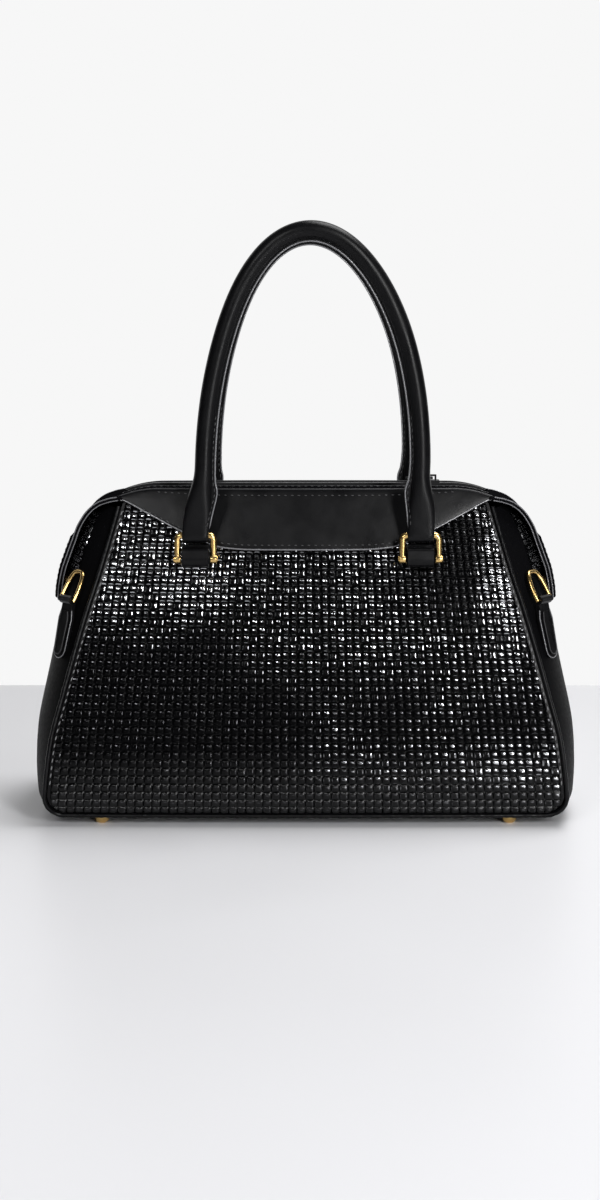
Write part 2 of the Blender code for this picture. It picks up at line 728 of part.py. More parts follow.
def make_slider():
    top = CREST_HEIGHT + FIT
    plate_top = top + SLIDER_PLATE
    low = CREST_HEIGHT - TAPE_TOP_BELOW + FIT
    profile = [(SLIDER_HALF_WIDTH, low), (SLIDER_HALF_WIDTH, plate_top),
               (-SLIDER_HALF_WIDTH, plate_top), (-SLIDER_HALF_WIDTH, low),
               (-SLIDER_FLANGE_INNER, low), (-SLIDER_FLANGE_INNER, top),
               (SLIDER_FLANGE_INNER, top), (SLIDER_FLANGE_INNER, low)]
    place = frame_at((SLIDER_PLACE, 0, 0), (0, 1, 0), (1, 0, 0))
    body = outline_solid("zip_slider", [profile], SLIDER_LENGTH, black_metal, place)
    axis = plate_top + PULL_AXIS_ABOVE
    clear = PULL_BAR + FIT
    inner = BRIDGE_HALF_LENGTH - BRIDGE_WIRE
    under = axis + clear
    foot = top + SLIDER_PLATE / 2
    bridge = [(-BRIDGE_HALF_LENGTH, foot), (-BRIDGE_HALF_LENGTH, under + BRIDGE_WIRE),
              (BRIDGE_HALF_LENGTH, under + BRIDGE_WIRE), (BRIDGE_HALF_LENGTH, foot),
              (inner, foot), (inner, under), (-inner, under), (-inner, foot)]
    place = frame_at((SLIDER_PLACE, 0, 0), (1, 0, 0), (0, -1, 0))
    arch = outline_solid("slider_bridge", [bridge], BRIDGE_WIDTH, None, place, cutters)
    carve(body, arch, 'UNION')
    eye = [(-PULL_BAR, PULL_EYE_HALF), (-PULL_EYE_LENGTH, PULL_EYE_HALF),
           (-PULL_EYE_LENGTH, -PULL_EYE_HALF), (-PULL_BAR, -PULL_EYE_HALF)]
    tip = arc((PULL_HALF_WIDTH - PULL_LENGTH, 0), PULL_HALF_WIDTH, 90, 270, 8)
    edge = [(PULL_BAR, -PULL_HALF_WIDTH), (PULL_BAR, PULL_HALF_WIDTH)]
    outline_solid("zip_pull", [tip + edge, eye], PULL_SHEET, black_metal,
                  Matrix.Translation((SLIDER_PLACE, 0, axis)))


# Shoulders, side flaps and snaps

def flap_line(side):
    """Outside line of the strip with its outward directions, for one side."""
    line = []
    for drop, standoff in FLAP_LINE_SHARES:
        z = CREST_HEIGHT - FLAP_DROP * drop
        gusset = half_width(z) + GUSSET_BULGE * bulge_share(height_share(z))
        line.append(Vector((gusset + FLAP_STANDOFF * standoff, 0, z)))
    points = []
    normals = []
    for i, point in enumerate(line):
        run = line[min(i + 1, len(line) - 1)] - line[max(i - 1, 0)]
        points.append(Vector((side * point.x, 0, point.z)))
        normals.append(Vector((-side * run.z, 0, run.x)).normalized())
    return points, normals


def flap_strip(side, first, last, start_gap, lift):
    """Surface of the strip between two points of its line."""
    points, normals = flap_line(side)

    def surface(u, v):
        place = first + (last - first) * v
        if v == 0:
            place += start_gap / (points[first + 1] - points[first]).length
        i = min(int(place), len(points) - 2)
        t = place - i
        middle = points[i].lerp(points[i + 1], t)
        normal = normals[i].lerp(normals[i + 1], t).normalized()
        width = FLAP_HALF_WIDTH * (FLAP_WIDTH_SHARES[i] * (1 - t) + FLAP_WIDTH_SHARES[i + 1] * t)
        droop = FLAP_DROOP_SHARES[i] * (1 - t) + FLAP_DROOP_SHARES[i + 1] * t
        across = 2 * u - 1
        return (middle + normal * (lift - droop * width * across ** 2)
                + Vector((0, across * width, 0)))

    return surface


def rounded_tip(surface, rows, tip_low):
    """Continue a strip past its last row with a half-round end."""
    def tipped(u, v):
        if v <= rows:
            return surface(u, v / rows)
        run = surface(0.5, 1) - surface(0.5, 1 - SAMPLE_SHARE)
        across = 2 * u - 1
        depth = (v - rows) / (1 - rows)
        end = surface(0.5, 1)
        reach = end.z - tip_low
        drop = reach * math.sqrt(max(1 - across ** 2, 0)) * depth
        point = surface(u, 1)
        return point + run.normalized() * drop

    return tipped


def make_shoulder(name, side):
    surface = flap_strip(side, 0, HINGE_POINT, 0, 0)
    sheet(name, 6, 6, surface, FLAP_SHEET, smooth_leather, (0, 0, 1))


def make_flap(name, side):
    last = len(FLAP_LINE_SHARES) - 1
    strip = flap_strip(side, HINGE_POINT, last, FLAP_JOINT_GAP, 0)
    surface = rounded_tip(strip, FLAP_ROWS_SHARE, CREST_HEIGHT - FLAP_TIP_DROP)
    sheet(name, 6, 12, surface, FLAP_SHEET, smooth_leather, (side, 0, 0))


def make_flap_patch(name, side):
    points, _ = flap_line(side)
    last = len(points) - 1
    first = min(i for i, point in enumerate(points)
                if point.z <= CREST_HEIGHT - PATCH_TOP_DROP)
    strip = flap_strip(side, first, last, 0, FIT + PATCH_SHEET)

    def narrowed(u, v):
        margin = PATCH_MARGIN / (FLAP_HALF_WIDTH * FLAP_WIDTH_SHARES[last])
        across = 0.5 + (u - 0.5) * (1 - margin)
        return strip(across, v)

    tip_low = CREST_HEIGHT - FLAP_TIP_DROP + PATCH_MARGIN
    surface = rounded_tip(narrowed, PATCH_ROWS_SHARE, tip_low)
    sheet(name, 6, 8, surface, PATCH_SHEET, smooth_leather, (side, 0, 0))


def flap_inner_point(side, z):
    """Point and inward direction on the inside of a flap at a height, y = 0."""
    points, normals = flap_line(side)
    i = max(k for k in range(len(points) - 1) if points[k].z >= z)
    t = (points[i].z - z) / (points[i].z - points[i + 1].z)
    normal = normals[i].lerp(normals[i + 1], t).normalized()
    return points[i].lerp(points[i + 1], t) - normal * FLAP_SHEET, -normal


def make_snap(word, side):
    point, inward = flap_inner_point(side, CREST_HEIGHT - SNAP_DROP)
    place = frame_at(point + inward * SEAT_GAP, (0, 1, 0), inward)
    depth = SNAP_SOCKET_DEPTH
    socket = [(0, depth - SNAP_BORE_DEPTH), (SNAP_BORE_RADIUS, depth - SNAP_BORE_DEPTH),
              (SNAP_BORE_RADIUS, depth), (SNAP_RADIUS * SNAP_RIM_SHARES[0], depth),
              (SNAP_RADIUS, depth * SNAP_RIM_SHARES[1]), (SNAP_RADIUS, 0), (0, 0)]
    turned(word + "_snap_socket", socket, brass, place)
    hinge = flap_line(side)[0][HINGE_POINT]
    reach = (point - hinge).length
    seat, normal = gusset_seat(side, hinge, reach)
    place = frame_at(seat + normal * FIT, (0, 1, 0), normal)
    knob = [(STUD_KNOB_RADIUS * wide, STUD_FLANGE + STUD_KNOB_HEIGHT * high)
            for wide, high in STUD_KNOB_SHARES]
    stud = [(0, knob[0][1])] + knob + [
        (STUD_RADIUS * STUD_RIM_SHARES[0], STUD_FLANGE),
        (STUD_RADIUS, STUD_FLANGE * STUD_RIM_SHARES[1]), (STUD_RADIUS, 0), (0, 0)]
    turned(word + "_snap_stud", stud, brass, place)


def gusset_seat(side, hinge, reach):
    """Point of the gusset's middle line at a distance from the flap's hinge, with its normal."""
    def miss(share):
        point = gusset_point(share, 0)
        return abs((Vector((side * point.x, 0, point.z)) - hinge).length - reach)

    span = SEAT_HIGH_SHARE - SEAT_LOW_SHARE
    share = min((SEAT_LOW_SHARE + span * i / SEAT_STEPS for i in range(SEAT_STEPS)), key=miss)
    point = gusset_point(share, 0)
    run = gusset_point(share + SAMPLE_SHARE, 0) - gusset_point(share - SAMPLE_SHARE, 0)
    normal = Vector((run.z, 0, -run.x)).normalized()
    return Vector((side * point.x, 0, point.z)), Vector((side * normal.x, 0, normal.z))


# Handles, shackles and chapes

def shackle_middles():
    return [SHACKLE_SHIFT - SHACKLE_SPAN / 2, SHACKLE_SHIFT + SHACKLE_SPAN / 2]


def make_shackle(name, x, y):
    low = PIN_HEIGHT
    r = SHACKLE_BEND
    w = SHACKLE_HALF_WIDTH
    bends = arc((w - r, BAR_HEIGHT - r), r, 0, 90, 4) + arc((r - w, BAR_HEIGHT - r), r, 90, 180, 4)
    outline = [(w, low)] + bends + [(-w, low)]
    bar = tube(name + "_bar", [Vector((x + px, y, pz)) for px, pz in outline], SHACKLE_WIRE,
               None, 2)
    mesh = bpy.data.meshes.new_from_object(
        bar.evaluated_get(bpy.context.evaluated_depsgraph_get()))
    bpy.data.objects.remove(bar, do_unlink=True)
    bm = bmesh.new()
    bm.from_mesh(mesh)
    bmesh.ops.remove_doubles(bm, verts=bm.verts, dist=MERGE)
    bpy.data.meshes.remove(mesh)
    item = add_object(name, mesh_from(name, bm), brass)
    for number, end in enumerate((-1, 1)):
        knuckle = rod(name + "_knuckle_%d" % number, KNUCKLE_RADIUS, KNUCKLE_LENGTH, None,
                      along_x((x + end * w, y, low)), cutters)
        carve(item, knuckle, 'UNION')
    bore = rod(name + "_bore", PIN_RADIUS + FIT, 2 * w + KNUCKLE_LENGTH + OVERRUN, None,
               along_x((x, y, low)), cutters)
    carve(item, bore)


def make_pin(name, x, y):
    """Screwed pin: a plain shank with a low head outside each knuckle."""
    half = SHACKLE_HALF_WIDTH + KNUCKLE_LENGTH / 2 + FIT
    length = PIN_HEAD_LENGTH
    profile = [(0, half + length), (PIN_HEAD_RADIUS, half + length), (PIN_HEAD_RADIUS, half),
               (PIN_RADIUS, half), (PIN_RADIUS, -half), (PIN_HEAD_RADIUS, -half),
               (PIN_HEAD_RADIUS, -half - length), (0, -half - length)]
    turned(name, profile, brass, along_x((x, y, PIN_HEIGHT)), PIN_SIDES)


def make_chape(name, x, side):
    """Leather loop round the pin, its two tails sewn to the panel behind it."""
    def behind(z):
        return panel_depth(x, z) + SEAT_GAP

    roll = arc((HANDLE_PLANE, PIN_HEIGHT), CHAPE_RADIUS, -CHAPE_ARC, CHAPE_ARC, 10)
    high = PIN_HEIGHT + CHAPE_TAIL_HALF
    low = PIN_HEIGHT - CHAPE_TAIL_HALF
    outline = [(behind(low), low)] + roll + [(behind(high), high)]
    hole = arc((HANDLE_PLANE, PIN_HEIGHT), PIN_RADIUS + RUNNING_GAP, 360, 30, BORE_SIDES - 1)
    place = frame_at((x, 0, 0), (0, side, 0), (side, 0, 0))
    outline_solid(name, [outline, hole], LOOP_WIDTH, smooth_leather, place)


def handle_middle(z):
    rise = (z - BAR_HEIGHT) / (HANDLE_APEX - BAR_HEIGHT)
    return SHACKLE_SHIFT + HANDLE_LEAN * lean_share(min(max(rise, 0), 1))


def handle_half_span(z):
    foot = (HANDLE_SPRING_HEIGHT - z) / (HANDLE_SPRING_HEIGHT - BAR_HEIGHT)
    foot = min(max(foot, 0), 1)
    return HANDLE_HALF_SPAN + (SHACKLE_SPAN / 2 - HANDLE_HALF_SPAN) * (3 - 2 * foot) * foot ** 2


def handle_sections():
    """Middle, half width, half thickness and squareness of each section, left to right."""
    legs = []
    nose = HANDLE_BASE_THICK
    for share in HANDLE_NOSE_SHARES:
        z = BAR_HEIGHT - nose * share
        legs.append((z, HANDLE_BASE_HALF, nose * math.sqrt(1 - share ** 2), 1))
    legs.append((BAR_HEIGHT + nose * HANDLE_NECK_SHARE, HANDLE_BASE_HALF, nose, 1))
    middle_thick = (nose + HANDLE_RADIUS) / 2
    heights = (FLAT_LOW, (FLAT_LOW + SHOULDER_LOW) / 2, SHOULDER_LOW)
    for z, thick, square in zip(heights, (nose, middle_thick, HANDLE_RADIUS), SQUARE_SHARES):
        legs.append((z, HANDLE_BASE_HALF, thick, square))
    legs.append((SHOULDER_HIGH, HANDLE_RADIUS, HANDLE_RADIUS, 0))
    left = [(Vector((handle_middle(z) - handle_half_span(z), 0, z)), Vector((0, 0, 1)),
             wide, thick, square) for z, wide, thick, square in legs]
    arch = []
    steps = HANDLE_STEPS
    rise = HANDLE_APEX - HANDLE_SPRING_HEIGHT
    for i in range(steps + 1):
        turn = math.pi * (1 - i / steps)
        z = HANDLE_SPRING_HEIGHT + rise * math.sin(turn)
        point = Vector((handle_middle(z) + HANDLE_HALF_SPAN * math.cos(turn), 0, z))
        run = Vector((HANDLE_HALF_SPAN * math.sin(turn), 0, -rise * math.cos(turn)))
        arch.append((point, run.normalized(), HANDLE_RADIUS, HANDLE_RADIUS, 0))
    right = [(Vector((handle_middle(z) + handle_half_span(z), 0, z)), Vector((0, 0, -1)),
              wide, thick, square) for z, wide, thick, square in reversed(legs)]
    return left + arch + right


def make_handle(name, side):
    """Rolled handle lofted from flat end loops into a round tube."""
    sides = HANDLE_SIDES
    bm = bmesh.new()
    rings = []
    for middle, run, wide, thick, square in handle_sections():
        across = Vector((run.z, 0, -run.x))
        power = 2 / (2 + SQUARE_POWER * square)
        ring = []
        for k in range(sides):
            angle = 2 * math.pi * (k + 0.5) / sides
            c, s = math.cos(angle), math.sin(angle)
            px = wide * math.copysign(abs(c) ** power, c)
            py = thick * math.copysign(abs(s) ** power, s)
            point = middle + across * px + Vector((0, side * HANDLE_PLANE + py, 0))
            ring.append(bm.verts.new(point))
        rings.append(ring)
    for first, second in zip(rings, rings[1:]):
        for k in range(sides):
            j = (k + 1) % sides
            bm.faces.new((first[k], first[j], second[j], second[k]))
    bm.faces.new(rings[0][::-1])
    bm.faces.new(rings[-1])
    bmesh.ops.recalc_face_normals(bm, faces=bm.faces)
    item = add_object(name, mesh_from(name, bm), smooth_leather)
    for number, x in enumerate(shackle_middles()):
        bore = rod(name + "_bore_%d" % number, SHACKLE_WIRE + RUNNING_GAP,
                   2 * HANDLE_BASE_HALF + 2 * OVERRUN, None,
                   along_x((x, side * HANDLE_PLANE, BAR_HEIGHT)), cutters)
        carve(item, bore)


# D-rings

def ring_frame(side):
    """Frame on a gusset: X along the ring's bar, Y out of the gusset, Z up along it."""
    seat = gusset_point(RING_SHARE, RING_SIDE_SHARE)
    run = (gusset_point(RING_SHARE + SAMPLE_SHARE, RING_SIDE_SHARE)
           - gusset_point(RING_SHARE - SAMPLE_SHARE, RING_SIDE_SHARE))
    tilt = math.atan2(-run.x, run.z) + RING_LEAN
    out = Vector((math.cos(RING_TURN) * math.cos(tilt), -math.sin(RING_TURN) * math.cos(tilt),
                  math.sin(tilt)))
    bar = Vector((math.sin(RING_TURN), math.cos(RING_TURN), 0))
    seat = Vector((side * seat.x, seat.y, seat.z))
    out = Vector((side * out.x, out.y, out.z))
    bar = Vector((side * bar.x, bar.y, 0)) * -side
    return frame_at(seat + out * RING_STANDOFF, bar, bar.cross(out))


def make_ring(name, side):
    place = ring_frame(side) @ Matrix.Rotation(RING_REST, 4, 'X')
    steps = 14
    points = []
    for i in range(steps + 1):
        turn = math.pi * i / steps
        cosine = math.cos(turn)
        x = RING_HALF_WIDTH * math.copysign(abs(cosine) ** RING_WIDTH_POWER, cosine)
        z = RING_HEIGHT * math.sin(turn) ** RING_HEIGHT_POWER
        points.append(place @ Vector((x, 0, z)))
    tube(name, points, RING_WIRE, brass, 2, cyclic=True)


def make_ring_chape(name, side):
    """Leather tongue with a raised middle, folded round the bar of the D-ring."""
    place = ring_frame(side)
    inner = RING_WIRE + RUNNING_GAP
    outer = inner + RING_LOOP_SHEET
    flat = place @ Matrix.Rotation(math.radians(90), 4, 'X')
    w = TONGUE_HALF_WIDTH
    neck = RING_LOOP_WIDTH / 2
    tip_radius = w * TONGUE_TIP_SHARE
    neck_end = -NECK_SHARE * outer
    shoulder = -TONGUE_SHOULDER_SHARE * outer
    tip = arc((0, w - TONGUE_LENGTH), tip_radius, 180, 360, 10)
    outline = [(neck, 0), (-neck, 0), (-neck, neck_end), (-w, shoulder)] + tip + [
        (w, shoulder), (neck, neck_end)]
    back = -outer + TONGUE_SHEET / 2
    plate = outline_solid(name, [outline], TONGUE_SHEET, smooth_leather,
                          flat @ Matrix.Translation((0, 0, -back)))
    m = TONGUE_PAD_MARGIN
    down = PAD_MARGIN_SHARE * outer
    pad_tip = arc((0, w - TONGUE_LENGTH), tip_radius - m, 180, 360, 8)
    pad = [(neck - m, neck_end - down), (m - neck, neck_end - down), (m - w, shoulder - down)]
    pad += pad_tip + [(w - m, shoulder - down)]
    rise = -outer + TONGUE_SHEET + TONGUE_PAD / 2 - FIT
    raised = outline_solid(name + "_pad", [pad], TONGUE_PAD + 2 * FIT, None,
                           flat @ Matrix.Translation((0, 0, -rise)), cutters)
    carve(plate, raised, 'UNION')
    lying = frame_at(place.translation, place.to_3x3() @ Vector((0, 1, 0)),
                     place.to_3x3() @ Vector((1, 0, 0)))
    roll = rod(name + "_roll", outer, RING_LOOP_WIDTH, None, lying, cutters)
    carve(plate, roll, 'UNION')
    hole = rod(name + "_hole", inner, RING_LOOP_WIDTH + 2 * OVERRUN, None, lying, cutters)
    carve(plate, hole)


def make_foot(name, x, y):
    top = FOOT_HEIGHT
    flange = top - FOOT_FLANGE
    dome = [(FOOT_RADIUS * wide, top * high) for wide, high in FOOT_DOME_SHARES]
    profile = [(0, top), (FOOT_RADIUS, top), (FOOT_RADIUS, flange)] + dome + [
        (FOOT_FLAT_RADIUS, 0), (0, 0)]
    turned(name, profile, brass, Matrix.Translation((x, y, 0)))


clear_scene()
parts = make_collection("tote_bag")
cutters = make_collection("cutters")

SIDES = (("left", -1), ("right", 1))
FACES = (("front", -1), ("rear", 1))

for face, side in FACES:
    make_panel(face + "_panel", side)
    make_piping(face + "_piping", side)
    make_yoke(face + "_yoke", side)
    make_placket(face + "_placket", side)
    make_zip_tape(face + "_zip_tape", side)
    make_zip_teeth(face + "_zip_teeth", side)
    make_handle(face + "_handle", side)
    for (word, end), middle in zip(SIDES, shackle_middles()):
        make_shackle("%s_%s_shackle" % (face, word), middle, side * HANDLE_PLANE)
        make_pin("%s_%s_shackle_pin" % (face, word), middle, side * HANDLE_PLANE)
        make_chape("%s_%s_chape" % (face, word), middle, side)
        make_foot("%s_%s_foot" % (face, word), end * FOOT_X, side * FOOT_Y)

for word, side in SIDES:
    make_gusset(word + "_gusset", side)
    make_gusset_inset(word + "_gusset_inset", side)
    make_shoulder(word + "_shoulder", side)
    make_flap(word + "_flap", side)
    make_flap_patch(word + "_flap_patch", side)
    make_snap(word, side)
    make_ring(word + "_d_ring", side)
    make_ring_chape(word + "_d_ring_chape", side)

make_base()
make_board()
make_lining()
make_slider()
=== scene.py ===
"""Looks of a structured zip-top tote bag in woven and smooth leather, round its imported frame.

Metres, +Z up. The bag stands on its four feet at z = 0 and its front faces -Y.
"""

import json
import math

import bmesh
import bpy
import numpy as np
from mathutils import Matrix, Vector
from mathutils.bvhtree import BVHTree

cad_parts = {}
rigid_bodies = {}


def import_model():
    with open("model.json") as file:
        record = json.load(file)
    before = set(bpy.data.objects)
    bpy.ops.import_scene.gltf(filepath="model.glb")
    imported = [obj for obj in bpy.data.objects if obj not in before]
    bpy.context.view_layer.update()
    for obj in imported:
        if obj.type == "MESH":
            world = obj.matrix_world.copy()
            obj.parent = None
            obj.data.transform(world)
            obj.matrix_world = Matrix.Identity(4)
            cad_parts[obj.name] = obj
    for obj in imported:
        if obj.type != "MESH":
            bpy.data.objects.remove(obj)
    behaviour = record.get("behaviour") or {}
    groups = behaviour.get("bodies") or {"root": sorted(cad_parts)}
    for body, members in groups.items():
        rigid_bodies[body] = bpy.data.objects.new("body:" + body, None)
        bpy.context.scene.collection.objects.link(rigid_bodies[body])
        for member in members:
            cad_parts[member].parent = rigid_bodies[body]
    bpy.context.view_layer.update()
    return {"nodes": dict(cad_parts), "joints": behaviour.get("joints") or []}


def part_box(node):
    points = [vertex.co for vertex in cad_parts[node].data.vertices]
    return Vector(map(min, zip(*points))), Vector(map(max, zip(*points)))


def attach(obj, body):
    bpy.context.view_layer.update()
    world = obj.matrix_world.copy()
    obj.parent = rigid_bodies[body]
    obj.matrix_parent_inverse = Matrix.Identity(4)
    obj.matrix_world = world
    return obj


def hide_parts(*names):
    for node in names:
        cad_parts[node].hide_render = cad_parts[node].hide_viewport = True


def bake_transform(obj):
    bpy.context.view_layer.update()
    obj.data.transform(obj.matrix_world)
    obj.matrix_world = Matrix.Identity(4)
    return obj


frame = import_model()

bl_info = {
    "name": "Woven Tote Bag",
    "version": (1, 0, 0),
    "blender": (4, 5, 0),
    "location": "View3D > Sidebar > Tote",
    "description": "Leather, weave, stitching and hardware of a structured zip-top tote bag",
    "category": "Add Mesh",
}

FACES = (("front", -1), ("rear", 1))
SIDES = (("left", -1), ("right", 1))

# Driving sizes of the bag, read from the frame where it holds them
FIT = 0.0003
PIPING_RADIUS = 0.0016
BASE_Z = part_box("base_panel")[0].z
MAX_HALF_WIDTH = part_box("front_piping")[1].x - PIPING_RADIUS
MAX_HALF_DEPTH = -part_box("front_panel")[0].y
BODY_HEIGHT = 0.2140
BODY_TOP = BASE_Z + BODY_HEIGHT
CORNER_RADIUS = 0.0140
CROWN_TOP = 0.0060
CROWN_BOTTOM = 0.0020
CROWN_POWER = 2.2
SEAM_INSET = PIPING_RADIUS + FIT
LEATHER = 0.0020
CREST_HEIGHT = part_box("front_zip_teeth")[1].z + FIT
CREST_FLAT = 0.1020
CREST_END = 0.1385
CREST_FALL = 0.0093
CREST_STATION_SHARE = 0.25
NORMAL_STEP = 0.0006

# Shares of the body height with shares of the largest half depth and half width
DEPTH_SHARES = ((0, 0.921), (0.025, 0.963), (0.057, 0.989), (0.100, 1.0), (0.178, 0.995),
                (0.295, 0.963), (0.436, 0.897), (0.575, 0.816), (0.715, 0.713),
                (0.855, 0.588), (1.040, 0.412))
WIDTH_SHARES = ((0.065, 1.0), (0.136, 0.991), (0.249, 0.972), (0.380, 0.931), (0.530, 0.882),
                (0.656, 0.838), (0.754, 0.800), (0.885, 0.754), (1.0, 0.716))

# Panels, their weave and their seams
WEAVE_MARGIN = 0.0022
WEAVE_RISE = 0.0060
WEAVE_UNDER_YOKE = 0.0075
PITCH_POWER = 1.2
BACKING_RISE = 0.0040
BACKING_BELOW_CREST = 0.0056
BACKING_DEPTH = 0.0009
BACKING_SHEET = 0.0010
SEAM_TOP_SHARE = 0.985
PIPING_STEP = 0.0012
PIPING_SWELL_SHARE = 0.05
SEAM_STITCH_INSET = 0.0012
SEAM_STITCH_LIFT = -0.0007

# Gussets: shares of the body height with shares of the bulge, of the frame and of the looks
GUSSET_BULGE = 0.0180
GUSSET_POWER = 2.4
GUSSET_TOP_SHARE = 0.955
GUSSET_CORNER_SHARE = 0.22
FRAME_BULGE_SHARES = ((0, 0), (0.450, 1.0), (0.670, 1.04), (0.860, 1.08), (1.0, 0.80))
BULGE_SHARES = ((0, 0), (0.03, 0.28), (0.065, 0.60), (0.178, 0.80), (0.340, 0.94),
                (0.450, 1.0), (0.560, 1.08), (0.660, 1.20), (0.740, 1.27), (0.820, 1.28),
                (0.880, 1.20), (0.920, 1.06), (0.955, 0.85), (1.0, 0.60))
INSET_LOW_DROP = 0.0546
INSET_HIGH_DROP = 0.0128
INSET_WIDTH_SHARE = 0.66
INSET_LIFT = FIT + 0.0008
INSET_STEP = 0.0010
INSET_COLUMNS, INSET_ROWS = 12, 9

# Yokes over the tops of the panels
YOKE_SHEET = 0.0018
YOKE_STANDOFF = 0.0005
YOKE_PUFF = 0.0005
YOKE_END = 0.1300
YOKE_LOW = BODY_TOP - 0.0318
YOKE_END_LOW = BODY_TOP + 0.0020
YOKE_TOP_BELOW = 0.0021
YOKE_SHARES = ((0, 0), (0.30, 0.006), (0.45, 0.05), (0.55, 0.17), (0.665, 0.37),
               (0.84, 0.71), (0.975, 0.97), (1.0, 1.0))

# Strip over each end: shares of its drop below the crest with shares of its standoff
FLAP_DROP = 0.0786
FLAP_STANDOFF = 0.0096
FLAP_TIP_DROP = 0.0836
FLAP_HALF_WIDTH = 0.0285
FLAP_LINE_SHARES = ((0.0737, -0.9635), (0.1070, -0.3876), (0.1426, 0.1610), (0.2010, 0.5925),
                    (0.2773, 0.8023), (0.3639, 0.8424), (0.4809, 0.7972), (0.6182, 0.8831),
                    (0.7520, 0.9711), (0.8854, 0.8915), (1.0001, 0.7024))
FLAP_WIDTH_SHARES = (1.12, 1.05, 0.980, 0.930, 0.880, 0.830, 0.780, 0.730, 0.690, 0.667, 0.667)
FLAP_DROOP_SHARES = (0.02, -0.02, -0.03, -0.03, -0.02, -0.01, 0, 0, 0, 0, 0)
FLAP_SETTLE = 0.0014
FLAP_SETTLE_SHARES = (1, 1, 1, 1, 0.8, 0.4, 0.1, 0, 0, 0, 0)
FLAP_LINING = 0.0006
FLAP_EDGE_LIFTS = (("outer", -0.0001), ("inner", -0.0025))
LAST_POINT = len(FLAP_LINE_SHARES) - 1
FLAP_POINTS = np.arange(LAST_POINT + 1)
FLAP_START = -0.4        # along the strip, in points of the shares above
BLEND_START = 2.4
BLEND_END = 3.8
PATCH_TOP_DROP = 0.0371
PATCH_MARGIN = 0.0028
PATCH_SHEET = 0.0018
PATCH_STITCH_INSET = 0.0026

# Top closure
PLACKET_SHEET = 0.0012
PLACKET_INNER = 0.0110
PLACKET_END = 0.1303
PLACKET_OUTER_DROP = 0.0030
PLACKET_INNER_DROP = 0.0016
TAPE_TOP_BELOW = 0.0040
TAPE_INNER = 0.0006
TAPE_OUTER = 0.0170
TAPE_END = 0.1290
TAPE_SHEET = 0.0008

# Handles and shackles
HINGES = {joint["name"]: joint for joint in frame["joints"]}
PIN_HEIGHT = HINGES["front_shackle_hinge"]["pos_m"][2]
BAR_HEIGHT = HINGES["front_handle_hinge"]["pos_m"][2]
HANDLE_PLANE = -HINGES["front_handle_hinge"]["pos_m"][1]
SHACKLE_SHIFT = HINGES["front_handle_hinge"]["pos_m"][0]
SHACKLE_SPAN = 0.1540
SHACKLE_WIRE = 0.0023
SHACKLE_HALF_WIDTH = 0.01235
SHACKLE_BEND = 0.0027
KNUCKLE = (0.0029, 0.0046, 0.0005, 28)     # radius, depth, rounded edge and sides
PIN_HEAD = (0.0020, 0.0012, 0.0004, 24)
PIN_HEAD_OUT = 0.0024
HANDLE_STEP_IN = 0.0031
HANDLE_HALF_SPAN = SHACKLE_SPAN / 2 - HANDLE_STEP_IN
HANDLE_SPRING = BAR_HEIGHT + 0.0451
HANDLE_APEX = BAR_HEIGHT + 0.2060
HANDLE_LEAN = 0.0038
LEAN_SHARES = ((0, 0), (0.12, 0.45), (0.26, 0.85), (0.60, 1.0), (1.0, 0.45))
LOOP_THICK = 0.0046
NOSE_TURN = 1.45
NOSE_STEPS = 8
# Rise above the shackle's bar with half widths and half thicknesses of a handle's leg
LEG_RISES = (0, 0.0081, 0.0180, 0.0240, 0.0290, 0.0340, 0.0400, 0.0451)
LEG_OUTER = (0.0092, 0.0092, 0.0091, 0.0087, 0.0080, 0.0072, 0.0065, 0.0063)
LEG_INNER = (0.0092, 0.0092, 0.0088, 0.0080, 0.0072, 0.0066, 0.0063, 0.0063)
LEG_THICK = (0.0046, 0.0047, 0.0053, 0.0058, 0.0061, 0.0063, 0.0063, 0.0063)
LEG_SQUARE_SHARES = (1.0, 0.8, 0.45, 0.28, 0.16, 0.08, 0.02, 0)
# Stitched flange under the roll
FLANGE_RISES = (0.0020, 0.0081, 0.0180, 0.0260, 0.0300, 0.0330, 0.0370, 0.0420, 0.0500)
FLANGE_REACH = (0.0080, 0.0092, 0.0099, 0.0106, 0.0107, 0.0102, 0.0086, 0.0078, 0.0075)
FLANGE_LOW = 0.0030
FLANGE_HALF = 0.0013
FLANGE_SECTION_SHARES = ((0.3, -1), (0.97, -1), (1.0, -0.6), (1.0, 0.6), (0.97, 1), (0.3, 1))
FLANGE_EDGE_DEPTHS = (("front", -0.0011), ("rear", 0.0011))
FLANGE_STITCH_INSET = 0.0017
FLANGE_STITCH_LOW = 0.0060
FLANGE_STITCH_HIGH = 0.0850
FLANGE_STITCH_FAR = 0.0200
CHAPE_RADIUS = 0.0056
CHAPE_ARC = 75
CHAPE_TAIL_HALF = 0.0048
CHAPE_RISE = 0.0046
CHAPE_CROWN = 0.0036
CHAPE_CROWN_OUT = 0.0008
CHAPE_TAIL_RISE = 0.0004
CHAPE_SINK = 0.0010
CHAPE_HALF_WIDTH = 0.0092
CHAPE_FLAT_HALF = 0.0088
CHAPE_ROUNDING = 0.0005

# D-rings and the leather tongues under them
RING_WIRE = 0.0015
RING_HALF_WIDTH = 0.0086
RING_RISE = 0.0212
RING_WIDTH_POWER = 0.60
RING_RISE_POWER = 0.80
RING_TOP_BELOW = 0.0013
RING_LEAN_REACH = 0.0184
TONGUE_HALF_WIDTH = 0.0080
TONGUE_NECK = 0.0065
TONGUE_NECK_DROP = 0.0072
TONGUE_WIDE_DROP = 0.0130
TONGUE_TIP = -0.0340
TONGUE_TIP_RADIUS = 0.0069
TONGUE_SHEET = 0.0024
TONGUE_PAD = 0.0012
TONGUE_PAD_INSET = 0.0026
TONGUE_EDGE_SINK = 0.0002

